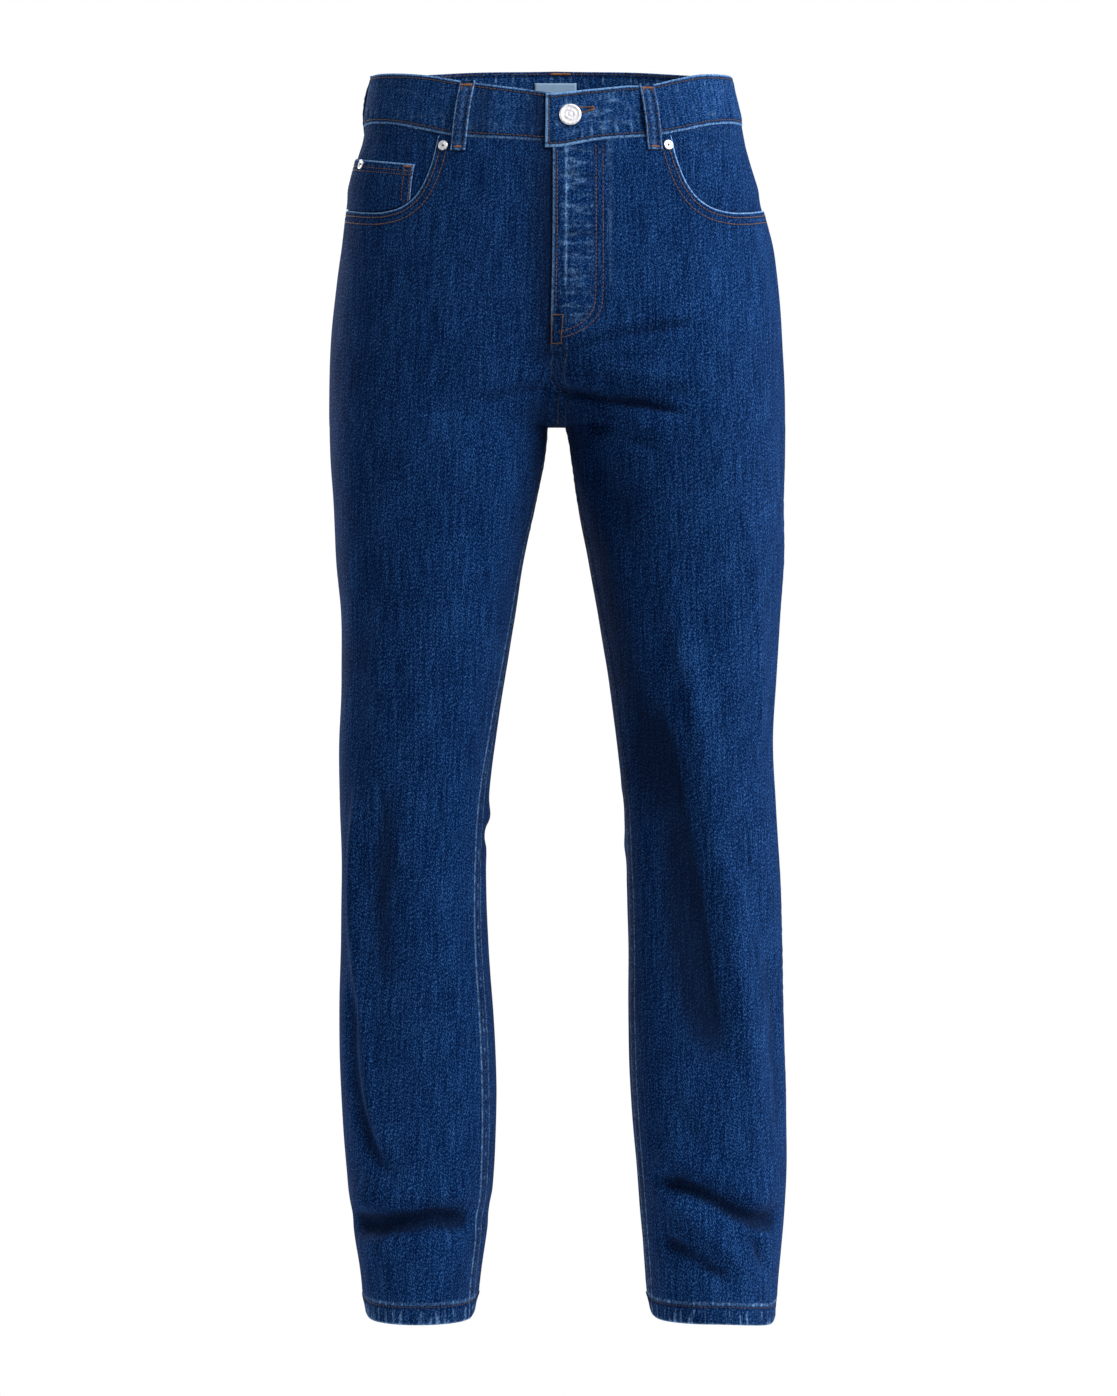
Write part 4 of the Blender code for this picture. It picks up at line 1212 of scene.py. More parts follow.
@dataclass
class GridPatch:
    """A patch that reads a grid of points between its rows and columns, off them along its normals."""

    points: Array
    columns: Array
    rows: Array
    outward: int
    normals: Array = field(init=False)

    def __post_init__(self) -> None:
        """Works out the grid's normals."""
        level = np.gradient(self.points, axis=1)
        down = np.gradient(self.points, axis=0) * np.sign(self.rows[-1] - self.rows[0])
        self.normals = unit(np.cross(level, down) * self.outward)

    def place(self, along: Any, height: Any, out: Any) -> Array:
        """Points at these places, moved off the grid."""
        along, height, out = alike(along, height, out)
        row, column = self._reach(height, self.rows), self._reach(along, self.columns)
        return read_cells(self.points, row, column) + out[..., None] * read_cells(self.normals, row, column)

    @staticmethod
    def _reach(value: Array, marks: Array) -> Array:
        """A value as a place among rising or falling marks, carried on past the ends."""
        sign = np.sign(marks[-1] - marks[0])
        inside = np.interp(value * sign, marks * sign, np.arange(len(marks)))
        before = np.minimum((value - marks[0]) / (marks[1] - marks[0]), 0)
        beyond = np.maximum((value - marks[-1]) / (marks[-1] - marks[-2]), 0)
        return inside + before + beyond


@dataclass
class Sewing:
    """Stitches, bartacks and worked edges of one piece, gathered into one mesh for each thread."""

    stitch: float = 0.0029
    pitch: float = 0.0034
    width: float = 0.0008
    height: float = 0.00050
    bar_pitch: float = 0.00052
    bar_width: float = 0.0007
    bar_height: float = 0.0009
    bar_uneven: float = 0.14
    path_step: float = 0.0005
    sides: int = 5
    rings: tuple[tuple[float, float, float], ...] = (
        (0.0, 0.35, -0.35), (0.2, 1.0, 0.15), (0.8, 1.0, 0.15), (1.0, 0.35, -0.35))
    threads: dict[str, list[Array]] = field(default_factory=dict)

    def _lay(self, thread: str, start: Array, end: Array, normal: Array, width: float, height: float) -> None:
        """Adds rounded lengths of thread.

        Args:
            thread: Name of the thread.
            start: Where each length starts.
            end: Where it ends.
            normal: Which way is off the cloth.
            width: Its width.
            height: Its height.
        """
        aside = np.cross(unit(end - start), normal)
        turn = 2 * pi * np.arange(self.sides) / self.sides + pi / 2
        level = aside[:, None] * np.cos(turn)[None, :, None] * width / 2
        lift = normal[:, None] * np.sin(turn)[None, :, None] * height / 2
        rings = []
        for share, girth, out in self.rings:
            middle = start + share * (end - start) + out * height * normal
            rings.append(middle[:, None] + girth * (level + lift))
        self.threads.setdefault(thread, []).append(np.stack(rings, axis=1))

    def _walk(self, patch: Patch, path: Array, out: float) -> tuple[Array, Array]:
        """A path with a point about every half millimetre, and the real distance along it."""
        path = np.asarray(path, float)
        arc = arc_lengths(path)
        at = np.linspace(0, arc[-1], max(int(arc[-1] / self.path_step), 2))
        dense = read_path(at, arc, path)
        return dense, arc_lengths(patch.place(dense[:, 0], dense[:, 1], out))

    def row(self, thread: str, patch: Patch, path: Array, out: float = 0.0) -> None:
        """Sews a row of stitches.

        Args:
            thread: Name of the thread.
            patch: The surface to sew on.
            path: Places along the row, as (distance, height).
            out: How far off the surface.
        """
        dense, arc = self._walk(patch, path, out)
        first = np.arange(int(arc[-1] / self.pitch)) + 0.5 * (1 - self.stitch / self.pitch)
        ends = []
        for distance in (first * self.pitch, first * self.pitch + self.stitch):
            level, height = read_path(distance, arc, dense).T
            ends.append(patch.place(level, height, out))
        self._lay(thread, *ends, patch.normal(level, height, out), self.width, self.height)

    def satin(self, thread: str, patch: Patch, path: Array, width: float, out: float = 0.0) -> None:
        """Works close bars of thread across a path, as on a bartack or a buttonhole.

        Args:
            thread: Name of the thread.
            patch: The surface to sew on.
            path: Places along the middle of the bars, as (distance, height).
            width: Length of each bar.
            out: How far off the surface.
        """
        dense, arc = self._walk(patch, path, out)
        count = max(int(arc[-1] / self.bar_pitch), 2)
        middle = read_path(np.linspace(0, arc[-1], count), arc, dense)
        ahead = unit(np.gradient(middle, axis=0))
        uneven = 1 + self.bar_uneven * np.sin(5.1 * np.arange(count))
        half = 0.5 * width * uneven[:, None] * np.stack([-ahead[:, 1], ahead[:, 0]], axis=1)
        start, end = (patch.place(*(middle + sign * half).T, out) for sign in (-1, 1))
        self._lay(thread, start, end, patch.normal(*middle.T, out), self.bar_width, self.bar_height)

    def build(self, name: str, wardrobe: dict[str, Any]) -> list[Any]:
        """Makes the threads.

        Args:
            name: The sewn piece's name.
            wardrobe: The finishes.

        Returns:
            One object for each thread that was used.
        """
        made = []
        for thread, batches in self.threads.items():
            points = np.concatenate(batches)
            count, rings, sides = points.shape[:3]
            base = (np.arange(count) * rings * sides)[:, None, None]
            ring = (np.arange(rings - 1) * sides)[None, :, None]
            side = np.arange(sides)[None, None, :]
            quads = np.stack([base + ring + side, base + ring + (side + 1) % sides], axis=-1)
            quads = np.concatenate([quads, quads[..., ::-1] + sides], axis=-1).reshape(-1, 4)
            caps = base[:, 0] + np.arange(sides)[None, ::-1]
            ends = base[:, 0] + (rings - 1) * sides + np.arange(sides)[None]
            mesh = bpy.data.meshes.new(f"{name}_stitches_{thread}")
            mesh.from_pydata(
                points.reshape(-1, 3).tolist(), [], quads.tolist() + caps.tolist() + ends.tolist())
            made.append(add_object(mesh, wardrobe[f"thread_{thread}"]))
            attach(made[-1], "root")
        return made


FINISHES = (
    Denim("denim_body"),
    Denim("denim_back"),
    Denim("denim_band", tone=0.31, turn=-66.0),
    Denim("denim_wrong_side", (0.0200, 0.0500, 0.1300), (0.0600, 0.1250, 0.2700), (0.2200, 0.3300, 0.5000),
          turn=18.0),
    Denim("denim_facing"),
    LabelWeave("label_weave"),
    Silver("button_silver", (0.80, 0.80, 0.84)),
    Silver("rivet_silver", (0.70, 0.70, 0.74)),
    Silver("rivet_nib", (0.10, 0.10, 0.11), 0.45),
    Thread("thread_amber", (0.150, 0.066, 0.032), (0.060, 0.030, 0.020)),
    Thread("thread_brown", (0.080, 0.033, 0.018), (0.022, 0.014, 0.016)),
    Thread("thread_tack", (0.400, 0.155, 0.050), (0.230, 0.085, 0.030)),
    Thread("thread_navy", (0.012, 0.014, 0.040), (0.006, 0.008, 0.022)),
)


def line(*places: tuple[float, float]) -> Array:
    """A path through a few places."""
    return np.array(places, float)


@dataclass
class Piece:
    """A piece of the jeans: the surface that it lies on, and its solid's name."""

    surface: BodySurface
    name: str


@dataclass
class SidePiece(Piece):
    """A piece on one of the wearer's sides."""

    side: Side


# Distances of a panel's columns from its centre, past the fly's edge, and from its side seam
START_COLUMNS = np.concatenate([[0, 0.0005, 0.0011, 0.0019, 0.0028], np.arange(0.0038, 0.0245, 0.0011)])
FLY_COLUMNS = np.arange(0.0255, 0.0530, 0.0016)
END_COLUMNS = np.array([0.0050, 0.0034, 0.0021, 0.0010, 0.0])
# Distances of its first rows from its top edge, and how high over the hem its last ones lie
EDGE_ROWS = np.array([0, 4, 9, 15, 24, 36, 48, 60, 74, 88, 102, 116, 130]) / 10000
HEM_ROWS = np.array([0.0010, 0.0005, 0.0])

# Ridges and grooves, each a place, a width and a height; painted shade in the grooves, each a place, a width
# and a strength; then heights of the fly's level puckers
FLY_RIDGES = ((0.0088, 0.0011, 0.00045), (0.0455, 0.0018, 0.00035), (0.0335, 0.0009, -0.00030),
              (0.0394, 0.0009, -0.00030), (0.0365, 0.0014, 0.00025), (0.0015, 0.0008, -0.0002))
FLY_PAINTED_SHADE = ((0.0335, 0.0010, 1.0), (0.0394, 0.0010, 1.0), (0.0015, 0.0009, 0.8))
FLY_LEVELS = (-0.0770, -0.1265, -0.1400, -0.1600)


@dataclass
class LegPanel(SidePiece):
    """A front or back leg panel, from its top edge to the hem."""

    panel: Panel
    even_columns: int = 54
    blend_rows: int = 19
    corner_reach: float = 0.008
    corner_squeeze: float = 0.6
    centre_welt: float = 0.0125
    inseam_welt: float = 0.0105
    inseam_rows: tuple[float, float] = (0.0022, 0.0092)
    welt_height: float = 0.0007
    hem_row: float = 0.0145
    pocket_rows: tuple[float, float] = (0.0042, 0.0100)
    back_overhang: float = 0.0012
    # Strength of the painted shade in the troughs of folds and creases
    shade: float = 0.98
    table_length: float = 0.985

    @property
    def is_fly(self) -> bool:
        """True for the panel that carries the fly."""
        return (self.side, self.panel) == (LEFT, FRONT)

    @property
    def overhang(self) -> float:
        """How far the panel laps over the centre: the left ones only."""
        if self.side is RIGHT:
            return 0.0
        return FLY_OVERHANG if self.panel is FRONT else self.back_overhang

    @property
    def patch(self) -> Patch:
        """The panel's dressed surface, read by distance and level height."""
        return Patch(self.place, outward_of(self.side, self.panel))

    def length(self, z: Any) -> Array:
        """Length of the panel's half ring at each height."""
        return self.surface.length(self.side, self.panel, z)

    def hung(self, along: Array, z: Array) -> Array:
        """Real heights of level rows near the hem: the left leg's end hangs lower at the side seam."""
        if self.side is RIGHT:
            return z
        dip = HEM_DIP * rise(along / self.length(z), HEM_DIP_START, HEM_DIP_REACH)
        return z - dip * smooth_step((ANKLE_Z - z) / (ANKLE_Z - HEM_Z))

    def place(self, along: Any, z: Any, out: Any) -> Array:
        """Points on the dressed panel."""
        along, z, out = alike(along, z, out)
        real = self.hung(along, z)
        return self.surface.at(self.side, self.panel, along, real, out + self.detail(along, z))

    def columns(self, length: float) -> Array:
        """Distances of the columns along a row of this length."""
        first = np.concatenate([START_COLUMNS, FLY_COLUMNS]) if self.is_fly else START_COLUMNS
        middle = np.linspace(first[-1], length - END_COLUMNS[0], self.even_columns + 1)[1:]
        return np.concatenate([first, middle, length - END_COLUMNS[1:]])

    def edge_curve(self) -> tuple[Array, Array, Array]:
        """The top edge: shares of the way across, heights, and how much of it is pocket edge."""
        if self.panel is BACK:
            across = np.linspace(0, 1, 400)
            return across, yoke_seam(across) - GAP, np.zeros_like(across)
        corners = np.array(POCKET_EDGES)
        seam = np.linspace(0, corners[0, 0], 200)
        arc = arc_lengths(corners * [self.length(-0.08), 1])
        dense = np.linspace(0, arc[-1], 400)
        curve, drop = (read_curve(arc, column, dense) for column in corners.T)
        under_band = band_edge(self.side, FRONT, seam, "bottom") - GAP
        drop[0] = under_band[-1]
        across = np.concatenate([seam[:-1], curve])
        return across, np.concatenate([under_band[:-1], drop]), np.repeat([0.0, 1.0], [199, 400])

    def top_line(self) -> tuple[Array, Array, Array]:
        """The top edge at each column.

        Returns:
            Its (distance, height) places, its inward directions, and how much of it is pocket edge.
        """
        across, z, on_pocket = self.edge_curve()
        path = np.stack([self.surface.distance(self.side, self.panel, across, z), z], axis=1)
        arc = arc_lengths(path)
        at, fine = self.columns(arc[-1]), np.linspace(0, arc[-1], 900)
        ahead = np.gradient(read_path(fine, arc, path), axis=0)
        inward = unit(np.stack([ahead[:, 1], -ahead[:, 0]], axis=1))
        inward = unit(bell(fine[:, None] - fine[None, :], self.corner_reach) @ inward)
        turned = (rise(fine, 0, 0.012) * rise(arc[-1] - fine, 0, 0.012))[:, None]
        inward = unit(turned * inward + (1 - turned) * np.array([0.0, -1.0]))
        return read_path(at, arc, path), read_path(at, fine, inward), np.interp(at, arc, on_pocket)

    @staticmethod
    def relaxed(block: Array) -> Array:
        """A block of grid places with its lines evened out so that none cross, its border held."""
        for _ in range(160):
            level = 0.5 * (block[1:-1, 2:] - block[1:-1, :-2])
            down = 0.5 * (block[2:, 1:-1] - block[:-2, 1:-1])
            twist = 0.25 * (block[2:, 2:] - block[2:, :-2] - block[:-2, 2:] + block[:-2, :-2])
            pairs = ((down, down), (level, level), (level, down))
            across, along, mixed = ((a * b).sum(axis=2, keepdims=True) for a, b in pairs)
            pull = across * (block[1:-1, 2:] + block[1:-1, :-2])
            pull = pull + along * (block[2:, 1:-1] + block[:-2, 1:-1])
            block[1:-1, 1:-1] = (pull - 2 * mixed * twist) / (2 * (across + along) + 1e-12)
        return block

    def level_row(self, z: float, strip: float = 0.0) -> Array:
        """A level row of grid places, whose first columns may lie on a strip that has ended."""
        along = np.maximum(self.columns(float(self.length(z)) + strip) - strip, 0)
        return np.stack([along, np.full_like(along, z)], axis=1)

    @staticmethod
    def leg_heights() -> Array:
        """Row heights down the leg, close below the crotch and at the hem."""
        steps = np.concatenate([[0.0], np.cumsum(0.0009 * 1.22 ** np.arange(9))])
        under = CROTCH_Z - steps - 0.0001
        leg = np.arange(under[-1] - 0.0035, HEM_Z + 0.030, -0.0035)
        hem = np.linspace(leg[-1] - 0.0015, HEM_Z + 0.0016, 19)
        return np.concatenate([under, leg, hem, HEM_Z + HEM_ROWS])

    def grid(self) -> ClothGrid:
        """The panel's points, flat places, and its marks of wear, painted highlight and painted shade."""
        top, inward, on_pocket = self.top_line()
        near_corner = np.linalg.norm(top - top[np.argmax(on_pocket > 0)], axis=1)
        squeeze = 1 - self.corner_squeeze * (self.panel is FRONT) * bell(near_corner, 0.014)
        edge = [distance * squeeze for distance in EDGE_ROWS]
        rows = [top + inset[:, None] * inward for inset in edge]
        share = np.linspace(0, 1, self.blend_rows)[:, None, None]
        rows += list(self.relaxed(rows[-1] * (1 - share) + self.level_row(SHAPED_Z) * share)[1:])
        turn = np.linspace(0, pi / 2, 61)[1:]
        rows += [self.level_row(z) for z in CROTCH_Z + (SHAPED_Z - CROTCH_Z) * (1 - np.sin(turn))]
        strip = self.surface.lattices[self.side, self.panel].strip.max()
        rows += [self.level_row(z, strip) for z in self.leg_heights()]
        to_edge = np.array(edge + [np.full(len(top), 1.0)] * (len(rows) - len(edge)))
        places = np.array(rows)
        along, z = places[..., 0].copy(), places[..., 1]
        # The side seam stays on the panel's own edge at every height
        short = self.length(z[:, -1]) - GAP / 2 - along[:, -1]
        short = np.where(z[:, -1] > SHAPED_Z, short, 0.0)[:, None]
        along += short * smooth_step((along - along[:, -1:]) / 0.030 + 1)
        upper = z >= CROTCH_Z
        along[:, 0] -= (self.overhang * upper * rise(z, CROTCH_Z, 0.012))[:, 0]
        gap = CROTCH_GAP / 2 * bell(z - CROTCH_Z, CROTCH_GAP_REACH) * (z < CROTCH_Z)
        along = np.where(upper & (along < GAP / 2) & (self.overhang == 0), GAP / 2, along)
        along = np.where(~upper, np.maximum(along, GAP / 2 + gap), along)
        on_pocket = on_pocket[None, :] * np.ones_like(z)
        relief = self.edge_relief(to_edge, along, z) - 0.0004 * fall(to_edge, 0, 0.0014)
        points = self.place(along, z, relief * on_pocket)
        aside = self.surface.middle(self.side, self.panel, z) - along
        grain = self.side.value * self.panel.value * aside + 0.4 * self.side.value
        flat = np.stack([grain, z + 0.7 * self.panel.value], axis=-1)
        marks = self.marks(along, z, to_edge, on_pocket)
        return ClothGrid(points, flat, marks, outward_of(self.side, self.panel))

    def edge_relief(self, to_edge: Array, along: Array, z: Array) -> Array:
        """Small puckers and sewn dips beside the pocket opening."""
        pucker = ripple(along + 1.3 * z, 0.010, 1.0 + self.side.value) * bell(to_edge - 0.0065, 0.0050)
        return 0.00028 * pucker - 0.00025 * bells(to_edge, self.pocket_rows, 0.0009)

    def below_fly(self, z: Array) -> Any:
        """How much of the centre seam shows: on the front, the part below the fly."""
        return smooth_step((FLY_END_Z - 0.006 - z) / 0.010) if self.panel is FRONT else 1.0

    def detail(self, along: Array, z: Array) -> Array:
        """Height of the felled seams, the hem and the fly's layers."""
        low = z < CROTCH_Z
        to_side = self.length(z) - along
        pucker = 0.00022 * ripple(z, 0.012, 7.0 + self.side.value) * bell(to_side - 0.004, 0.0045)
        relief = self.hem_detail(along, z) + pucker - 0.0006 * bell(to_side, 0.0016)
        if self.panel is FRONT:
            relief = relief + low * self.welt(along, z, self.inseam_welt, self.inseam_rows, 3.0)
        else:
            relief = relief - low * 0.0005 * bell(along, 0.0022)
        if self.side is LEFT:
            seam = self.welt(along, z, self.centre_welt, CENTRE_ROWS, 5.0)
            relief = relief + ~low * self.below_fly(z) * seam
        else:
            relief = relief - ~low * 0.0004 * bell(along, 0.0020)
        return relief + self.fly_detail(along, z) if self.is_fly else relief

    def welt(self, along: Array, z: Array, width: float, rows: tuple[float, float], seed: float) -> Array:
        """Height of a felled seam: a raised strip with two sewn dips and puckers."""
        pucker = 0.00022 * ripple(z, 0.0085, seed + self.side.value)
        sewn = self.welt_height - 0.00035 * bells(along, rows, 0.0008) + pucker
        return fall(along, width - 0.0006, 0.0012) * sewn

    def hem_detail(self, along: Array, z: Array) -> Array:
        """Height of the hem: a sewn dip, roping below it and small puckers above."""
        up = z - HEM_Z
        rope = 0.00035 * ripple(along + 0.3 * up, 0.0110, 2.0 + self.side.value + 3.0 * self.panel.value)
        below = rise(up, 0, 0.002) * smooth_step((self.hem_row - up) / 0.003)
        above = 0.00025 * ripple(along, 0.0078, 4.0) * bell(up - self.hem_row - 0.004, 0.004)
        sewn = -0.00060 * bell(up - self.hem_row, 0.0010) - 0.0006 * fall(up, 0, 0.0018)
        return sewn + (rope + 0.0008) * below + above

    @staticmethod
    def fly_detail(along: Array, z: Array) -> Array:
        """Height of the layers and puckers of the fly."""
        window = rise(along, 0.002, 0.003) * fall(along, 0.031, 0.003)
        puckers = 0.00030 * ripple(z + 0.06 * along, 0.0170, 1.0) - 0.0009 * bells(z, FLY_LEVELS, 0.0030)
        beside = 0.00018 * ripple(z, 0.0090, 2.0) * bell(along - 0.0425, 0.0030)
        return rise(z, -0.196, 0.016) * (ridged(along, *FLY_RIDGES) + puckers * window + beside)

    def marks(self, along: Array, z: Array, to_edge: Array, on_pocket: Array) -> dict[str, Array]:
        """Where the panel is worn pale, partly as painted highlight, roped or drawn level, and where painted
        shade darkens it.

        Args:
            along: Distance from the centre or inseam.
            z: Height.
            to_edge: Distance from the top edge.
            on_pocket: How much of the top edge there is pocket edge.

        Returns:
            The strength of each mark, by its name.
        """
        low, up = z < CROTCH_Z, z - HEM_Z
        over_hem, length = up - self.hem_row, self.length(z)
        folds = self.surface.relief(self.side, self.panel, along, z, length)
        below = rise(up, 0, 0.001) * fall(over_hem, -0.0027, 0.0015)
        wear = on_pocket * (0.80 * fall(to_edge, 0.0006, 0.0010) + 0.05 * bell(to_edge - 0.0070, 0.0026))
        # Fold ridges get a faint pale mark: painted highlight as much as wear
        wear = wear + 0.030 * rise(folds, 0, 0.003) + 0.30 * bell(over_hem - 0.0026, 0.0016)
        wear = wear + 0.42 * fall(up, 0.0004, 0.0016)
        # Painted shade along the pocket opening's stitch rows, in the troughs of folds and creases, and at
        # the hem's sewn groove
        groove = 0.75 * on_pocket * bells(to_edge, self.pocket_rows, 0.0010)
        groove = groove + self.shade * smooth_step((-folds - 0.0010) / 0.0060)
        groove = groove + 0.9 * bell(over_hem, 0.0012) + 0.12 * below
        rope = below * 0.75 + 0.60 * bell(over_hem - 0.0026, 0.0018)
        draw = 0.30 * bell(length - along - 0.003, 0.0040)
        if self.panel is FRONT:
            # Pale worn edges of the inseam's felled seam; on the right leg they run its whole length, also as
            # painted highlight along the inner edge that the other leg shades
            seen = low * (1.0 if self.side is RIGHT else smooth_step((-0.56 - z) / 0.06))
            edges = bells(along, (self.inseam_welt, 0.0002), 0.0008)
            wear = wear + seen * (0.60 + 0.22 * ripple(z, 0.014, 4.0)) * edges
            draw = draw + seen * 0.90 * bell(along - 0.0057, 0.0020)
            # Painted shade along the inseam's stitch rows
            groove = groove + low * 0.85 * bells(along, self.inseam_rows, 0.0010)
        if self.side is LEFT:
            seen = ~low * self.below_fly(z)
            edges = ridged(along, (-self.overhang, 0.0011, 1.0), (self.centre_welt - 0.001, 0.0009, 0.7))
            wear = wear + seen * (0.40 - 0.25 * smooth_step((-0.235 - z) / 0.02)) * edges
            draw = draw + seen * 0.4 * bell(along - 0.006, 0.0024)
            # Painted shade over the centre seam's welt and along its stitch rows
            groove = groove + seen * (
                0.15 * fall(along, 0.012, 0.004) + 0.6 * bells(along, CENTRE_ROWS, 0.0009))
        elif self.panel is FRONT:
            # Painted shadow beside the centre seam, where the fly's raised edge laps over this panel
            groove = groove + 0.95 * bell(along, 0.019) * rise(z, -0.25, 0.03)
        if self.is_fly:
            on, upper, fine = rise(z, -0.206, 0.010), rise(z, -0.176, 0.012), ripple(z, 0.0110, 2.0)
            window = rise(along, 0.002, 0.003) * fall(along, 0.0305, 0.002)
            wear = wear + on * 0.80 * bell(along + FLY_OVERHANG, 0.0014) * (0.9 + 0.1 * fine)
            wear = wear + upper * (0.42 + 0.16 * fine) * bell(along - 0.0088, 0.0011)
            wear = wear + upper * (0.20 + 0.08 * fine) * bell(along - 0.0455, 0.0017)
            draw = draw + on * 0.72 * window + upper * 0.45 * bell(along - 0.0365, 0.0018)
            rope = rope + upper * 0.25 * bell(along - 0.0440, 0.0030)
            # Painted shade in the fly's sewn grooves and along its level puckers
            groove = groove + on * 0.65 * ridged(along, *FLY_PAINTED_SHADE)
            groove = groove + 0.60 * bells(z, FLY_LEVELS, 0.0016) * window
        return {"wear": wear, "groove": groove, "rope": rope, "draw": draw}

    def stitches(self, sewing: Sewing) -> None:
        """Sews the panel's seams, hem, pocket opening and fly."""
        z = HEM_Z + self.hem_row
        sewing.row("brown", self.patch, line((0.001, z), (float(self.length(z)) - 0.001, z)))
        if self.panel is FRONT:
            for row in self.inseam_rows:
                sewing.row("navy", self.patch, line((row, CROTCH_Z - 0.010), (row, HEM_Z + 0.017)))
            top, inward, on_pocket = self.top_line()
            for row in self.pocket_rows:
                sewing.row("amber", self.patch, (top + row * inward)[on_pocket > 0.5])
        if self.side is LEFT:
            top_z = FLY_END_Z - 0.012 if self.panel is FRONT else YOKE_BACK_Z - 0.002
            for row in CENTRE_ROWS:
                sewing.row("navy", self.patch, line((row, top_z), (row, CROTCH_Z + 0.0012)))
        if self.is_fly:
            self._fly_stitches(sewing)

    def _fly_stitches(self, sewing: Sewing) -> None:
        """Sews the fly's edge, its curved rows and the box at its foot."""
        sewing.row("amber", self.patch, line((0.0015, -0.0560), (0.0015, -0.1900)))
        turn = np.linspace(0, pi / 2, 30)
        for start, foot, depth in ((0.0335, 0.0010, 0.0275), (0.0394, 0.0030, 0.0320)):
            curve = np.stack([foot + (start - foot) * np.cos(turn), -0.1800 - depth * np.sin(turn)], axis=1)
            sewing.row("amber", self.patch, np.concatenate([line((start, -0.0510)), curve]))
        left, right, top, bottom = -0.0012, 0.0078, -0.1935, -0.2165
        box = ((left, top), (right, top)), ((right, top), (right, bottom)), ((right, bottom), (left, bottom))
        for first, last in (*box, ((left, bottom), (left, top))):
            sewing.satin("amber", self.patch, line(first, last), 0.0010, 0.0002)

    def build(self, wardrobe: dict[str, Any]) -> None:
        """Makes and dresses the panel and its sewing."""
        faces = wardrobe["denim_body" if self.panel is FRONT else "denim_back"], wardrobe["denim_wrong_side"]
        obj = self.grid().build(self.name, WALL, faces)
        lattice = self.surface.lattices[self.side, self.panel]
        covered = (lattice.heights < -0.08) & (lattice.heights > HEM_Z)
        area = float(-np.trapz(lattice.length[covered], lattice.heights[covered]))
        width = float(lattice.length[covered].max())
        sewing = Sewing()
        self.stitches(sewing)
        threads = sewing.build(self.name, wardrobe)


@dataclass
class Yoke(SidePiece):
    """A back yoke, between the waistband and the back panel."""

    rows: tuple[float, float] = (0.0016, 0.0076)
    lap: float = 0.0006
    welt_height: float = 0.0006
    centre_height: float = 0.0007
    dip: float = 0.00035
    column_step: float = 0.0030
    row_count: int = 26
    flat_height: float = 0.068

    @property
    def length(self) -> float:
        """Distance from the centre back to the side seam."""
        return float(self.surface.length(self.side, BACK, YOKE_LEVEL_Z))

    def span(self, along: Array) -> tuple[Array, Array]:
        """Heights of the lower and upper edges at distances from the centre back."""
        across = along / self.length
        top = band_edge(self.side, BACK, np.clip(across, 0, 1), "bottom") - GAP
        return yoke_seam(across) - self.lap, top

    def place(self, along: Any, up: Any, out: Any) -> Array:
        """Points on the yoke, by distance and the height over its lower seam."""
        along, up, out = alike(along, up, out)
        foot, _ = self.span(along)
        return self.surface.at(self.side, BACK, along, foot + up, out + self.detail(along, up))

    def detail(self, along: Array, up: Array) -> Array:
        """Height of the lapped lower seam, with its sewn dips and puckers."""
        pucker = 0.00020 * ripple(along, 0.0088, 11.0 + self.side.value)
        sewn = self.welt_height - self.dip * bells(up, self.rows, 0.0008) + pucker
        relief = fall(up, 0.0088, 0.0014) * sewn
        if self.side is LEFT:
            centre = self.centre_height - self.dip * bells(along, CENTRE_ROWS, 0.0008)
            relief = np.maximum(relief, fall(along, 0.0110, 0.0012) * centre)
        return relief - 0.0004 * fall(up, 0, 0.0012) - 0.0005 * bell(self.length - along, 0.0016)

    def grid(self) -> ClothGrid:
        """The yoke's points and marks."""
        length, sign = self.length, self.side.value
        start = -0.0010 if self.side is LEFT else GAP / 2
        even = np.linspace(0.0145, length - 0.0030, int(length / self.column_step))
        end = length - np.array([0.0018, 0.0008, GAP / 2])
        columns = np.concatenate([[start], np.arange(0.0008, 0.0140, 0.0010), even, end])
        foot, top = self.span(columns)
        shares = np.linspace(0, 1, self.row_count) ** 1.35
        up = shares[::-1, None] * (top - foot)[None, :]
        along = columns + 0 * up
        # The side seam stays on the panel's own edge at every height
        real = self.surface.length(self.side, BACK, foot + up)
        stretched = 0.02 + (along - 0.02) * (real - GAP / 2 - 0.02) / (length - 0.02)
        stretched = np.where(along > 0.02, stretched, along)
        spotty = 0.55 + 0.45 * ripple(along, 0.0088, 11.0 + sign)
        wear = spotty * ridged(up, (0.0090, 0.0010, 0.30), (0.0046, 0.0020, 0.22))
        wear = wear + 0.55 * fall(up, 0.0004, 0.0014)
        # Painted shade along the stitch rows, and along the centre seam's rows on the left
        groove = 0.5 * bells(up, self.rows, 0.0008)
        if self.side is LEFT:
            wear = wear + ridged(along, (-0.001, 0.0012, 0.35), (0.0110, 0.0010, 0.35))
            groove = groove + 0.4 * bells(along, CENTRE_ROWS, 0.0008)
        flat = np.stack([stretched * sign + 0.9 * sign, up + 0.3], axis=-1)
        marks = {"wear": wear, "groove": groove}
        return ClothGrid(self.place(stretched, up, 0.0), flat, marks, outward_of(self.side, BACK))

    def build(self, wardrobe: dict[str, Any]) -> None:
        """Makes and dresses the yoke."""
        obj = self.grid().build(self.name, WALL, (wardrobe["denim_back"], wardrobe["denim_wrong_side"]))
        patch, sewing = Patch(self.place, outward_of(self.side, BACK)), Sewing()
        for row in self.rows:
            sewing.row("amber", patch, line((0.001, row), (self.length - 0.003, row)))
        if self.side is LEFT:
            for row in CENTRE_ROWS:
                sewing.row("amber", patch, line((row, 0.010), (row, 0.066)))
        area = SHAPED_SHARE * self.length * self.flat_height
        threads = sewing.build(self.name, wardrobe)
        flat = self.length, self.flat_height


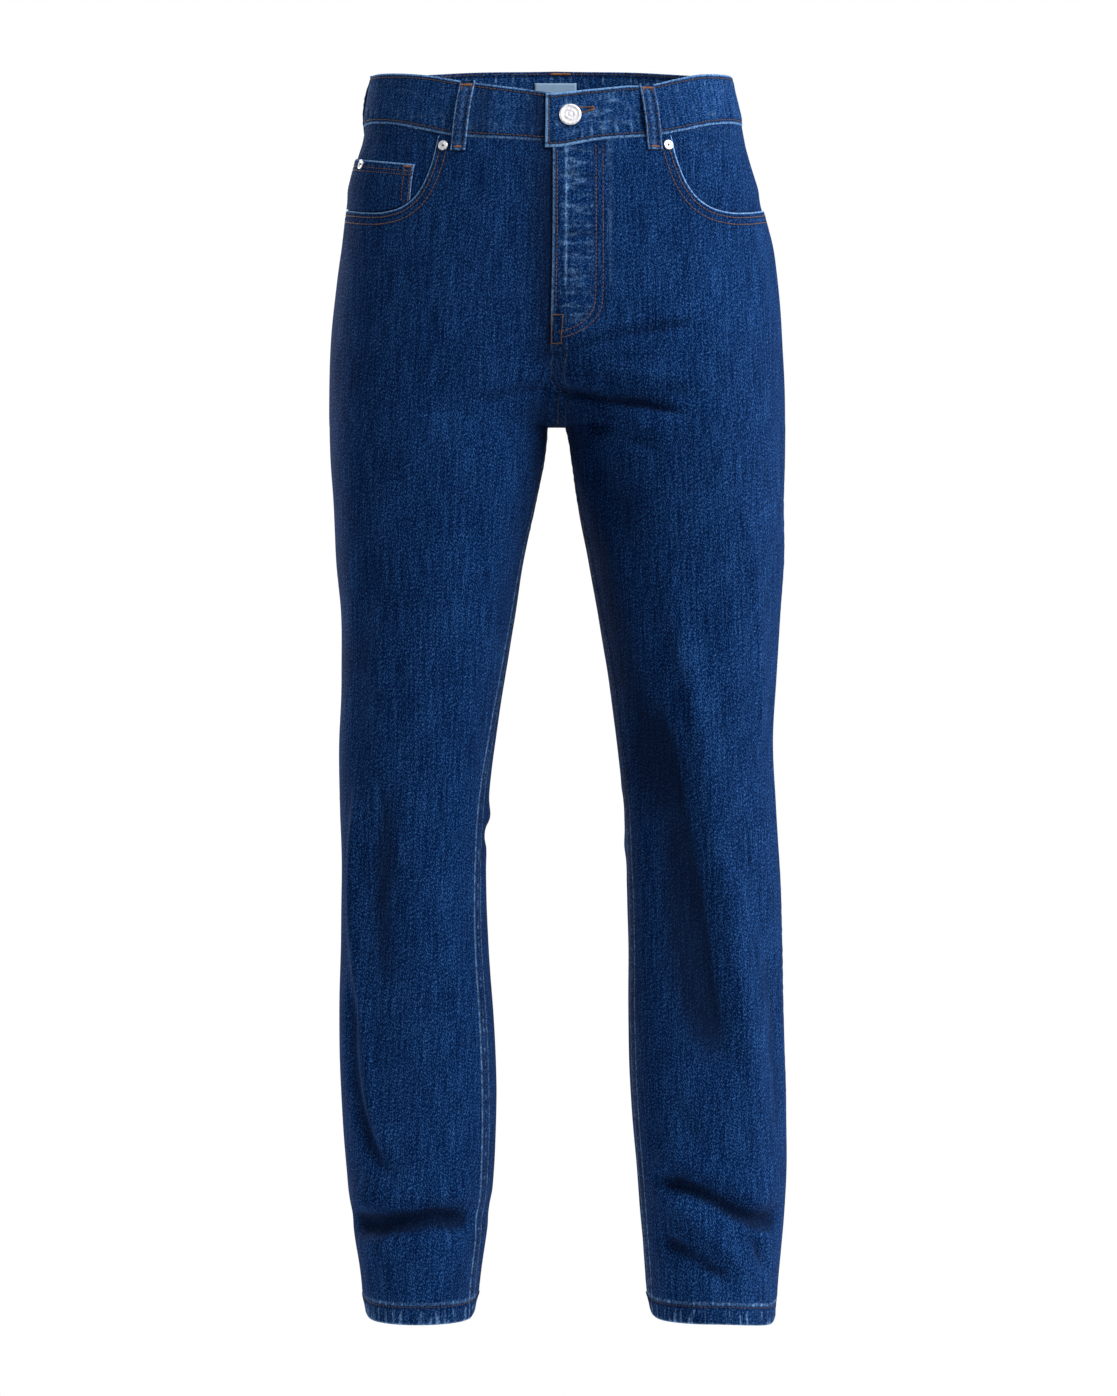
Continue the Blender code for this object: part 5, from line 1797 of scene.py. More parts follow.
@dataclass
class PocketFacing(SidePiece):
    """The cloth that shows in a front pocket's opening."""

    margin: float = 0.42
    foot_z: float = -0.098
    depth: float = 0.014
    clear: float = 0.004
    climb: float = 0.016
    climb_across: float = 0.10
    top_drop: float = 0.0002
    tucked: float = 0.0060
    rows: int = 34
    columns: int = 52
    flat: tuple[float, float] = (0.150, 0.095)

    def inset(self, across: Array, z: Array) -> Array:
        """How far the facing lies under the front: level with it at the seams."""
        above = smooth_step((z - pocket_edge(across) - self.clear) / self.climb)
        return -FLY_LIFT * (1 - above * rise(across, POCKET_EDGES[1].across, self.climb_across))

    def place(self, across: Any, z: Any, out: Any) -> Array:
        """Points on the facing, by share of the way across and height."""
        across, z, out = alike(across, z, out)
        along = self.surface.distance(self.side, FRONT, across, z)
        return self.surface.at(self.side, FRONT, along, z, out + self.inset(across, z))

    def build(self, wardrobe: dict[str, Any]) -> None:
        """Makes and dresses the facing."""
        across = np.linspace(self.margin, 1, self.columns)
        edge = band_edge(self.side, FRONT, across, "bottom") - self.top_drop
        top = edge + self.tucked * smooth_step((-self.inset(across, edge) - 0.0002) / 0.0004)
        foot = np.minimum(pocket_edge(across) - self.depth, self.foot_z)
        share = np.linspace(0, 1, self.rows)[:, None]
        z = top + share * (foot - top)
        wide = across + 0 * z
        swell = 0.00035 * ripple(wide * 0.22 + 0.5 * z, 0.034, 2.0 + self.side.value)
        points = self.place(wide, z, swell * smooth_step(share * 6))
        along = self.surface.distance(self.side, FRONT, wide, z)
        wear = 0.10 * bell(wide - 0.985, 0.010) + 0.04 * smooth_step(ripple(z, 0.02, 5.0))
        # Paler towards the top, by the band: painted highlight
        wear = wear + 0.06 * rise(z, -0.064, 0.016)
        # Painted shade at and below the pocket opening's edge, where the front panel covers the facing
        marks = {"wear": wear, "groove": 0.8 * smooth_step((pocket_edge(wide) + 0.0032 - z) / 0.0040)}
        flat = np.stack([along * self.side.value + 1.6, z], axis=-1)
        faces = wardrobe["denim_facing"], wardrobe["denim_wrong_side"]
        grid = ClothGrid(points, flat, marks, outward_of(self.side, FRONT))
        obj = grid.build(self.name, WALL, faces, "denim_facing")
        SHAPED_SHARE * self.flat[0] * self.flat[1]


@dataclass
class CoinPocket(SidePiece):
    """The small pocket on the right facing, hemmed with two rows of stitches."""

    wall: float = POCKET_WALL
    inner: float = 0.523
    outer: float = 0.930
    inner_top_z: float = -0.0655
    outer_top_z: float = -0.0525
    level_z: float = -0.075
    foot_rise: float = 0.001
    mouth_rows: tuple[float, float] = (0.0060, 0.0092)
    side_rows: tuple[float, float] = (0.0016, 0.0078)
    dip: float = 0.00030
    rows: int = 40
    columns: int = 72
    flat: tuple[float, float] = (0.098, 0.062)

    def place(self, across: Any, down: Any, out: Any) -> Array:
        """Points on the pocket, by distance from its inner side and below its mouth."""
        across, down, out = alike(across, down, out)
        length = self.surface.length(self.side, FRONT, self.level_z)
        slope = (self.outer_top_z - self.inner_top_z) / ((self.outer - self.inner) * length)
        z = self.inner_top_z + across * slope - down
        facing = PocketFacing(self.surface, self.name, self.side)
        return facing.place(self.inner + across / length, z, out + PATCH_GAP + self.wall)

    def build(self, wardrobe: dict[str, Any]) -> None:
        """Makes and dresses the pocket."""
        length = float(self.surface.length(self.side, FRONT, self.level_z))
        width = (self.outer - self.inner) * length
        near = np.array([0, 0.0005, 0.0012, 0.0020, 0.0030])
        across = np.concatenate([near, np.linspace(0.0040, width - 0.0040, self.columns), width - near[::-1]])
        top = self.inner_top_z + across / width * (self.outer_top_z - self.inner_top_z)
        foot = pocket_edge(self.inner + across / length) + self.foot_rise
        rows = np.concatenate([[0, 0.0004, 0.0009, 0.0016], np.linspace(0.0024, 0.0120, 12)])
        lower = np.linspace(0, 1, self.rows - len(rows) + 1)[1:, None] * (top - foot - rows[-1])
        down = np.concatenate([np.repeat(rows[:, None], len(across), axis=1), rows[-1] + lower])
        wide = across + 0 * down
        edge = np.minimum(np.minimum(wide, width - wide), down)
        pucker = ripple(wide, 0.0072, 6.0)
        relief = 0.0002 - 0.0006 * fall(edge, 0, 0.0013) + 0.00030 * bell(down - 0.0030, 0.0025) * pucker
        relief = relief - self.dip * bells(down, self.mouth_rows, 0.0008)
        relief = relief - self.dip * bells(wide, self.side_rows, 0.0008)
        wear = 0.80 * fall(down, 0.0006, 0.0012) + 0.65 * fall(wide, 0.0004, 0.0010)
        wear = wear + 0.38 * bell(down - 0.0042, 0.0014) * smooth_step(0.3 + pucker)
        wear = wear + 0.22 * bell(wide - 0.0048, 0.0020) * smooth_step(0.3 + ripple(down, 0.0065, 3.0))
        # Painted shade along the stitch rows
        groove = 0.6 * (bells(down, self.mouth_rows, 0.0008) + bells(wide, self.side_rows, 0.0008))
        flat = np.stack([-wide + 2.2, -down], axis=-1)
        outward = outward_of(self.side, FRONT)
        grid = ClothGrid(self.place(wide, down, relief), flat, {"wear": wear, "groove": groove}, outward)
        obj = grid.build(self.name, self.wall, (wardrobe["denim_facing"], wardrobe["denim_wrong_side"]))
        patch = Patch(lambda along, height, out: self.place(along, -np.asarray(height), out), outward)
        sewing = Sewing(pitch=0.0031, stitch=0.0026)
        for row in self.mouth_rows:
            sewing.row("brown", patch, line((0.001, -row), (width - 0.002, -row)))
        for row, foot_at in (*((row, -0.034) for row in self.side_rows), (width - 0.0016, -0.042)):
            sewing.row("amber", patch, line((row, -0.001), (row, foot_at)))
        sewing.satin("tack", patch, line((0.0020, -0.0022), (0.0094, -0.0022)), 0.0015, 0.0003)
        threads = sewing.build(self.name, wardrobe)
        area = SHAPED_SHARE * self.flat[0] * self.flat[1]


@dataclass
class BackPocket(SidePiece):
    """A five-sided pocket on the seat."""

    wall: float = POCKET_WALL
    edge_rows: tuple[float, float] = (0.0016, 0.0076)
    mouth_rows: tuple[float, float] = (0.0016, 0.0110)
    dip: float = 0.00030
    from_side: float = 0.046
    top_width: float = 0.140
    foot_width: float = 0.122
    outer_z: float = -0.100
    inner_z: float = -0.112
    height: float = 0.128
    point: float = 0.024
    rows: int = 62
    columns: int = 66
    flat: tuple[float, float] = (0.140, 0.152)
    area: float = 0.0183

    def width(self, down: Array) -> Array:
        """The pocket's width at shares of the way down."""
        return self.top_width + down * (self.foot_width - self.top_width)

    def tall(self, across: Array) -> Array:
        """Its height at shares of the way across."""
        return self.height + self.point * (1 - np.abs(2 * across - 1))

    def base(self) -> GridPatch:
        """The pocket's plain grid, by its share across from the centre side and down from the mouth."""
        shares = np.linspace(0, 1, 40), np.linspace(0, 1, 41)
        down, inwards = np.meshgrid(*shares, indexing="ij")
        z = self.outer_z + inwards * (self.inner_z - self.outer_z) - down * self.tall(inwards)
        width = self.width(down)
        margin = self.from_side + (self.top_width - width) / 2
        along = self.surface.length(self.side, BACK, z) - margin - inwards * width
        points = self.surface.at(self.side, BACK, along, z, PATCH_GAP + self.wall)
        return GridPatch(points[:, ::-1], shares[1], shares[0], outward_of(self.side, BACK))

    def build(self, wardrobe: dict[str, Any]) -> None:
        """Makes and dresses the pocket."""
        base, sign = self.base(), self.side.value
        near = np.array([0, 0.004, 0.009, 0.016, 0.026])
        shares = [np.concatenate([near, np.linspace(0.036, 0.964, count), 1 - near[::-1]])
                  for count in (self.rows, self.columns)]
        down, across = np.meshgrid(*shares, indexing="ij")
        width, tall = self.width(down), self.tall(across)
        below = (1 - down) * tall * np.cos(np.arctan2(2 * self.point, self.foot_width))
        mouth = down * tall
        sewn = np.minimum(np.minimum(across, 1 - across) * width, below)
        edge = np.minimum(sewn, mouth)
        pucker = ripple(across * width + down * tall, 0.0090, 4.0 + sign)
        puckered = bell(sewn - 0.0045, 0.0040) + bell(mouth - 0.006, 0.0050)
        rows = bells(sewn, self.edge_rows, 0.0008) + bells(mouth, self.mouth_rows, 0.0008)
        relief = 0.00025 * pucker * puckered - 0.0006 * fall(edge, 0, 0.0013) - self.dip * rows
        bulge = 0.0009 * np.sin(pi * across) * np.sin(pi * np.clip(1.2 * down, 0, 1))
        bulge = bulge + 0.0004 * np.sin(9 * across + 7 * down)
        puckered = bell(sewn - 0.0046, 0.0018) + bell(mouth - 0.006, 0.0026)
        wear = 0.75 * fall(edge, 0.0006, 0.0012) + 0.28 * smooth_step(0.2 + pucker) * puckered
        flat = np.stack([across * 0.13 * sign + 2.6, -down * 0.15], axis=-1)
        # Painted shade along the stitch rows
        marks = {"wear": wear, "groove": 0.5 * rows}
        grid = ClothGrid(base.place(across, down, relief + bulge), flat, marks, base.outward)
        obj = grid.build(self.name, self.wall, (wardrobe["denim_back"], wardrobe["denim_wrong_side"]))
        patch = Patch(lambda along, height, out: base.place(along, -np.asarray(height), out), base.outward)
        sewing = Sewing()
        for row in self.edge_rows:
            inset, foot_inset = row / self.top_width, row / self.foot_width
            foot = row / self.height * 1.06 - 1
            path = line((inset, -0.002), (foot_inset, foot), (0.5, foot), (1 - foot_inset, foot),
                        (1 - inset, -0.002))
            sewing.row("amber", patch, self.even(path))
        for row in self.mouth_rows:
            drop = -row / self.height
            sewing.row("amber", patch, self.even(line((0.012, drop), (0.988, drop))))
        for end, inner in ((0.010, 0.070), (0.990, 0.930)):
            sewing.satin("tack", patch, line((end, -0.012), (inner, -0.012)), 0.012, 0.0003)
        threads = sewing.build(self.name, wardrobe)

    @staticmethod
    def even(path: Array) -> Array:
        """A path in shares of the pocket, with points close enough for its stitches."""
        arc = arc_lengths(path)
        return read_path(np.linspace(0, arc[-1], 400), arc, path)


@dataclass
class HemTurn(SidePiece):
    """The turned-up cloth inside a leg's end."""

    columns: int = 110
    rows: int = 12
    flat: tuple[float, float] = (0.40, HEM_DEPTH)

    def build(self, wardrobe: dict[str, Any]) -> None:
        """Makes and dresses the ring."""
        up = np.linspace(HEM_DEPTH, 0, self.rows)[:, None]
        rings = []
        for panel in Panel:
            leg = LegPanel(self.surface, self.name, self.side, panel)
            along = np.linspace(GAP / 2, float(leg.length(HEM_Z)) - GAP / 2, self.columns)[None, :]
            along, z = np.broadcast_arrays(along, HEM_Z + up)
            out = -(WALL + GAP) - 0.0004 * fall(z - HEM_Z, 0, 0.0012) + 0.5 * leg.hem_detail(along, z)
            rings.append(self.surface.at(self.side, panel, along, leg.hung(along, z), out))
        points = np.concatenate([rings[0], rings[1][:, -2:0:-1]], axis=1)
        around = np.arange(points.shape[1]) * 0.0036 + 0 * up
        height = up + 0 * around
        marks = {"wear": 0.4 * fall(height, 0, 0.002), "rope": 0.5 + 0 * height}
        flat = np.stack([around + 3.2, height], axis=-1)
        grid = ClothGrid(points, flat, marks, outward_of(self.side, FRONT), closed=True)
        obj = grid.build(self.name, WALL, [wardrobe["denim_facing"]] * 2, "denim_facing")


class Station(NamedTuple):
    """A place round the waistband."""

    side: Side
    panel: Panel
    across: float
    out: float
    top: float
    bottom: float


class Draw(NamedTuple):
    """One straight pull in the waistband: its ends round and up the band, its width and height."""

    start: tuple[float, float]
    end: tuple[float, float]
    width: float
    height: float

    def relief(self, around: Array, up: Array) -> Array:
        """Height of the pull, fading to its ends."""
        ahead = np.subtract(self.end, self.start)
        reach = float(np.linalg.norm(ahead))
        right, upward = ahead / reach
        level, over = around - self.start[0], up - self.start[1]
        t = (level * right + over * upward) / reach
        aside = over * right - level * upward
        return self.height * bell(aside, self.width) * smooth_step(t / 0.3) * smooth_step((1 - t) / 0.3)


DRAWS = (
    Draw((0.0290, 0.0225), (0.0780, 0.0405), 0.0022, -0.0012),
    Draw((0.0330, 0.0300), (0.0800, 0.0450), 0.0020, 0.0007),
    Draw((0.0450, 0.0390), (0.0800, 0.0220), 0.0019, 0.0008),
    Draw((0.0460, 0.0230), (0.0790, 0.0050), 0.0019, 0.0008),
    Draw((0.0520, 0.0160), (0.0740, 0.0030), 0.0016, -0.0007),
    Draw((0.0100, 0.0100), (0.0180, 0.0030), 0.0018, 0.0006),
    Draw((0.1180, 0.0360), (0.1420, 0.0100), 0.0030, -0.0006),
    Draw((0.1560, 0.0340), (0.1660, 0.0060), 0.0030, 0.0006),
)
# The end that lies under the lap, as distance from the centre and how far out
UNDERLAP = ((-0.0100, -0.0003), (0.0, -0.0008), (0.0100, -0.0018), (0.0200, -0.0026), (0.0290, -0.0030))
UNDERLAP_REACH = UNDERLAP[-1][0]


@dataclass
class Waistband(Piece):
    """One strip round the waist, its left end lapped over the right with a buttonhole."""

    wall: float = BAND_WALL
    edge_row: float = 0.0034
    slit: float = 0.0205
    rows: int = 34
    flat_height: float = 0.048
    shown_height: float = 0.043
    base: GridPatch = field(init=False)
    heights: Array = field(init=False)

    def __post_init__(self) -> None:
        """Lays the band's plain grid round the waist."""
        stations = self.stations()
        share = np.linspace(0, 1, 9)
        columns = []
        for stop in stations:
            z = stop.bottom + share * (stop.top - stop.bottom)
            along = self.surface.distance(stop.side, stop.panel, stop.across, z)
            columns.append(self.surface.at(stop.side, stop.panel, along, z, stop.out, folds=False))
        points = np.array(columns).transpose(1, 0, 2)
        self.heights = np.array([stop.top - stop.bottom for stop in stations])
        self.base = GridPatch(points, arc_lengths(points[4]), share, 1)

    @staticmethod
    def lap_out(from_centre: float) -> float:
        """How far the upper end stands out, from its tab across the front."""
        tab_out = FLY_LIFT + BAND_WALL - WALL
        return float(BAND_OUT + (tab_out - BAND_OUT) * fall(from_centre, LAP_FLAT, FLY_WIDTH))

    def stations(self) -> list[Station]:
        """Places round the waistband, from the tab at the front to the end that lies under it."""
        def edges(side: Side, panel: Panel, across: float) -> list[float]:
            """Heights of the band's edges."""
            return [float(band_edge(side, panel, across, edge)) for edge in ("top", "bottom")]

        stops = []
        width = float(self.surface.length(LEFT, FRONT, BUTTON_Z))
        for distance in np.linspace(-TAB_REACH, 0, 5)[:-1]:
            out = self.lap_out(distance)
            stops.append(Station(RIGHT, FRONT, -distance / width, out, *edges(LEFT, FRONT, 0.0)))
        near = np.linspace(0, 0.25, 18)
        runs = ((LEFT, FRONT, (*near, *np.linspace(0.25, 1, 34)[1:])),
                (LEFT, BACK, np.linspace(1, 0, 44)[1:]),
                (RIGHT, BACK, np.linspace(0, 1, 44)[1:]),
                (RIGHT, FRONT, np.linspace(1, LAP_ACROSS, 42)[1:]))
        for side, panel, shares in runs:
            for across in shares:
                lapped = (side, panel) == (LEFT, FRONT)
                out = self.lap_out(across * FRONT_WIDTH) if lapped else BAND_OUT
                stops.append(Station(side, panel, across, out, *edges(side, panel, across)))
        for from_centre, out in UNDERLAP:
            side, across = (RIGHT if from_centre <= 0 else LEFT), abs(from_centre) / width
            upper = edges(RIGHT, FRONT, across if side is RIGHT else 0.0)
            stops.append(Station(side, FRONT, across, out, *upper))
        return stops

    def place(self, around: Any, up: Any, out: Any) -> Array:
        """Points on the band, by distance round it from the tab's end and above its lower edge."""
        around, up, out = alike(around, up, out)
        return self.base.place(around, up / self.height(around), out)

    def height(self, around: Any) -> Array:
        """The band's height at distances round it."""
        return np.interp(around, self.base.columns, self.heights)

    def build(self, wardrobe: dict[str, Any]) -> None:
        """Makes and dresses the band."""
        total = float(self.base.columns[-1])
        near = np.array([0, 0.0005, 0.0011, 0.0018, 0.0027, 0.0038])
        around = np.concatenate([near, np.arange(0.0052, total - 0.002, 0.0021), [total]])
        near = np.array([0, 4, 9, 15, 22, 30, 38, 46, 56, 68]) / 10000
        height = self.height(around)
        middle = np.linspace(0, 1, self.rows - 2 * len(near) + 2)[1:-1, None]
        middle = near[-1] + middle * (height - 2 * near[-1])
        up = np.concatenate([near[:, None] + 0 * height, middle, height - near[::-1, None]])[::-1]
        wide, down = around + 0 * up, height - up
        edge = np.minimum(np.minimum(up, down), wide)
        foot_pucker = ripple(wide, 0.0100, 8.0)
        rows = sum(bell(way - self.edge_row, 0.0008) for way in (up, down, wide))
        pulled = sum(draw.relief(wide, up) for draw in DRAWS)
        relief = 0.00075 * foot_pucker * bell(up - 0.0078, 0.0060) - 0.0008 * fall(edge, 0, 0.0014)
        relief = relief + 0.00042 * ripple(wide, 0.0090, 3.0) * bell(down - 0.0062, 0.0045)
        relief = relief + 0.0004 * np.sin(wide * 62 + 1.0) * np.sin(pi * up / height)
        points = self.place(wide, up, relief + pulled - 0.0004 * np.minimum(rows, 1))
        flat = np.stack([wide + 4.0, up], axis=-1)
        grid = ClothGrid(points, flat, self.marks(wide, up, down, rows, pulled), 1)
        obj = grid.build(self.name, self.wall, [wardrobe["denim_band"]] * 2)
        threads = self.sew(wardrobe, total)
        flat = total, self.flat_height

    def marks(self, wide: Array, up: Array, down: Array, rows: Array, pulled: Array) -> dict[str, Array]:
        """Where the band is worn pale, roped or drawn level, and where painted shade and shadow darken it.

        Args:
            wide: Distance round the band.
            up: Distance above its lower edge.
            down: Distance below its upper edge.
            rows: How near a row of stitches lies.
            pulled: Height of the straight pulls.

        Returns:
            The strength of each mark, by its name.
        """
        total = float(self.base.columns[-1])
        edge = np.minimum(np.minimum(up, down), wide)
        lapped = fall(wide, 0.045, 0.05)
        behind = rise(wide, 0.21, 0.02) * fall(wide, total - 0.26, 0.02)
        top_edge = 1 - 0.85 * behind * rise(up - down, 0, 0.004)
        tab_fold = fall(wide, 0.028, 0.006) * fall(edge, 0.0020, 0.0010)
        wear = fall(edge, 0.0010, 0.0011) * (0.60 + 0.2 * lapped) * top_edge + 0.05 * lapped
        wear = wear + 0.35 * np.maximum(fall(wide, 0.0022, 0.0012), tab_fold)
        wear = wear + 0.16 * rise(pulled, 0.0002, 0.0008)
        wear = wear + 0.10 * lapped * ripple(wide, 0.0100, 8.0) * bell(up - 0.0075, 0.0045)
        # Painted shadow left of the tab and beside a front belt loop
        painted_shadow_by_tab_and_loop = ridged(wide, (total - UNDERLAP_REACH - TAB_REACH, 0.016, 0.95),
                            (total - 0.0895, 0.0075, 0.60))
        rope = (0.36 + 0.14 * lapped) * bell(up - 0.0085, 0.0060)
        rope = rope + (0.42 + 0.30 * behind) * bell(down - 0.0068, 0.0040)
        # Painted shade along the stitch rows, with the painted shadows above
        return {"wear": wear, "groove": 0.95 * np.minimum(rows, 1) + painted_shadow_by_tab_and_loop, "rope": rope,
                "draw": (0.40 + 0.32 * lapped) * rise(edge, 0.006, 0.004)}

    def sew(self, wardrobe: dict[str, Any], total: float) -> list[Any]:
        """Sews the band's edges and works its buttonhole."""
        patch, sewing, row = Patch(self.place, 1), Sewing(), self.edge_row
        around = np.linspace(row, total - 0.030, 900)
        for up in (row + 0 * around, self.height(around) - row):
            sewing.row("brown", patch, np.stack([around, up], axis=1))
        sewing.row("brown", patch, line((row, row), (row, float(self.height(0.0)) - row)))
        button = TAB_REACH + BUTTON_FROM_CENTRE
        level = BUTTON_Z - float(band_edge(LEFT, FRONT, 0.0, "bottom"))
        head = button + self.slit - 0.0016
        for side in (-1, 1):
            path = line((button + 0.0060, level + 0.0030 * side), (head, level + 0.0011 * side))
            sewing.satin("amber", patch, path, 0.0014, 0.0003)
        turn = np.linspace(-0.8 * pi, 0.8 * pi, 18)
        ring = np.stack([head + 0.0010 + 0.0013 * np.cos(turn), level + 0.0013 * np.sin(turn)], axis=1)
        sewing.satin("tack", patch, ring, 0.0013, 0.0003)
        inner = Patch(lambda along, height, out: self.place(along, height, -self.wall - np.asarray(out)), -1)
        back = np.linspace(0.17, total - 0.20, 700)
        sewing.row("amber", inner, np.stack([back, self.height(back) - 0.0022], axis=1))
        middle = total / 2 - 0.5 * (UNDERLAP_REACH + TAB_REACH) - 0.001
        top = float(self.height(middle)) - 0.0022
        sewing.satin("tack", inner, line((middle - 0.0085, top), (middle + 0.0085, top)), 0.0022, 0.0003)
        return sewing.build(self.name, wardrobe)


# How high a belt loop stands at shares of the way down
LOOP_RISES = ((0.00, 0.0008), (0.10, 0.0010), (0.25, 0.0028), (0.50, 0.0034), (0.72, 0.0024), (0.86, 0.0009),
              (1.00, 0.0004))


@dataclass
class BeltLoop(SidePiece):
    """A belt loop: a folded strip, flat at both ends and standing off the waistband between.

    Its ends stand at distances from the centre seam.
    """

    panel: Panel
    top: float
    bottom: float
    above: float = 0.0004
    # Strength of painted shade over the whole loop
    shade: float = 0.0
    wall: float = WALL
    width: float = 0.0120
    tail: float = 0.0125
    shown: float = 0.055
    rows: int = 44
    flat_length: float = 0.062

    def base(self) -> GridPatch:
        """The loop's plain grid, by distance from its middle line and share of the way down."""
        width = float(self.surface.length(self.side, self.panel, 0.0))
        top = float(band_edge(self.side, self.panel, self.top / width, "top")) + self.above
        bottom = float(band_edge(self.side, self.panel, self.bottom / width, "bottom")) - self.tail
        down = np.linspace(0, 1, 40)
        out = read_curve(*zip(*LOOP_RISES), down) + self.wall
        columns = np.linspace(-0.5, 0.5, 5) * self.width
        other = RIGHT if self.side is LEFT else LEFT
        rows = []
        for share, lift in zip(down, out):
            z = top + share * (bottom - top)
            distances = self.top + share * (self.bottom - self.top) + columns
            rows.append([self.surface.at(self.side if distance >= 0 else other, self.panel, abs(distance), z,
                                         lift, folds=False) for distance in distances])
        return GridPatch(np.array(rows), columns, down, outward_of(self.side, self.panel))

    def build(self, wardrobe: dict[str, Any]) -> None:
        """Makes and dresses the loop."""
        base, half = self.base(), self.width / 2
        near = np.array([0, 0.0004, 0.0009, 0.0014, 0.0020, 0.0026])
        even = np.linspace(-half + 0.0034, half - 0.0034, 9)
        aside = np.concatenate([near - half, even, half - near[::-1]])
        share = np.concatenate([[0, 0.006, 0.014, 0.024], np.linspace(0.036, 0.964, self.rows),
                                [0.976, 0.986, 0.994, 1]])
        down, wide = np.meshgrid(share, aside, indexing="ij")
        edge, way = half - np.abs(wide), down * self.shown
        end = np.minimum(down, 1 - down) * self.shown
        relief = ridged(wide, (0.0, 0.0024, 0.0006)) + ridged(edge, (0.0018, 0.0007, -0.0003))
        relief = relief - 0.0005 * fall(np.minimum(edge, end), 0, 0.0011)
        relief = relief + 0.00022 * ripple(way, 0.0070, 2.0 + self.top) + ridged(down, (0.04, 0.03, 0.0008))
        spotty = ripple(way, 0.0060, 9.0 * self.bottom)
        wear = 0.50 * fall(edge, 0.0005, 0.0009) + (0.26 + 0.12 * spotty) * bell(wide, 0.0022)
        # A loop in shade is painted darker all over with its wear dimmed, and its stitch rows get painted
        # shade
        wear = (wear + 0.30 * bell(down - 0.99, 0.02)) * (1 - self.shade)
        marks = {"wear": wear, "groove": 0.80 * bell(edge - 0.0021, 0.0010) + self.shade}
        flat = np.stack([wide + 5.5 + self.bottom, way], axis=-1)
        grid = ClothGrid(base.place(wide, down, relief), flat, marks, base.outward)
        obj = grid.build(self.name, self.wall, (wardrobe["denim_band"], wardrobe["denim_wrong_side"]))
        patch = Patch(lambda along, height, out: base.place(along, -np.asarray(height) / self.shown, out),
                      base.outward)
        sewing = Sewing(pitch=0.0030, stitch=0.0025)
        top, foot = -0.0030, -0.0525
        for x in (0.0018 - half, half - 0.0018):
            sewing.row("brown", patch, line((x, -0.0035), (x, foot)))
        for z, leg in ((top, -0.0040), (foot, 0.0022)):
            sewing.satin("tack", patch, line((-half + 0.0016, z), (half - 0.0016, z)), 0.0018, 0.0004)
            for x in (-half + 0.0022, half - 0.0022):
                sewing.satin("tack", patch, line((x, z), (x, z + leg)), 0.0010, 0.0004)
        threads = sewing.build(self.name, wardrobe)


@dataclass
class Label(Piece):
    """A small bare woven label inside the centre back."""

    width: float = 0.0365
    top_z: float = 0.0237
    height: float = 0.030
    bow: float = 0.0003
    out: float = BAND_OUT - BAND_WALL - GAP - 0.0001

    def build(self, wardrobe: dict[str, Any]) -> None:
        """Makes and dresses the label."""
        aside = np.linspace(-0.5, 0.5, 21) * self.width
        level, z = np.meshgrid(aside, self.top_z - np.linspace(0, self.height, 17))
        bow = self.bow * np.sin(pi * (z - self.top_z) / self.height) * np.cos(3 * level / self.width)
        halves = [self.surface.at(side, BACK, np.abs(level), z, self.out - np.abs(bow), folds=False)
                  for side in (LEFT, RIGHT)]
        points = np.where(level[..., None] >= 0, *halves)
        flat = np.stack([level + 6.5, z], axis=-1)
        grid = ClothGrid(points, flat, {}, outward_of(LEFT, BACK))
        obj = grid.build(self.name, LABEL_WALL, [wardrobe["label_weave"]] * 2, "label_weave", "ribbon")


@dataclass
class Trim(SidePiece):
    """A turned metal piece on the front, at a distance from the centre."""

    from_centre: float
    z: float
    out: float = 0.0
    steps: int = 72

    def turned(self, kind: str, profile: Sequence[tuple[float, float]], place: Matrix, material: Any) -> Any:
        """Turns a profile into a closed piece.

        Args:
            kind: What it is, as the end of its name.
            profile: Its radius and height, from the top of the axis.
            place: Where it stands.
            material: Its finish.

        Returns:
            The object.
        """
        made = bmesh.new()
        rings = []
        for radius, height in profile:
            turns = 2 * pi * np.arange(self.steps if radius > 0 else 1) / self.steps
            spots = [Vector((radius * np.cos(turn), radius * np.sin(turn), height)) for turn in turns]
            rings.append([made.verts.new(place @ spot) for spot in spots])
        for upper, lower in zip(rings, rings[1:]):
            for i in range(self.steps):
                after = (i + 1) % self.steps
                around = ((upper, i), (lower, i), (lower, after), (upper, after))
                corners = [ring[number % len(ring)] for ring, number in around]
                made.faces.new(list(dict.fromkeys(corners)))
        return add_object(finished_mesh(f"{self.name}_{kind}", made), material)

    def frame_at(self, out: float) -> Matrix:
        """Its place on the front, whose Z axis points outwards and whose X axis runs level."""
        def at(along: float, height: float) -> Vector:
            """A point of the plain surface beside its place."""
            along, height = self.from_centre + along, self.z + height
            return Vector(self.surface.at(self.side, FRONT, along, height, out, folds=False).tolist())

        middle = at(0.0, 0.0)
        level = (at(0.004, 0.0) - middle).normalized()
        outward = level.cross(at(0.0, 0.004) - middle).normalized() * outward_of(self.side, FRONT)
        axes = Matrix((level, outward.cross(level), outward)).transposed().to_4x4()
        return Matrix.Translation(middle) @ axes


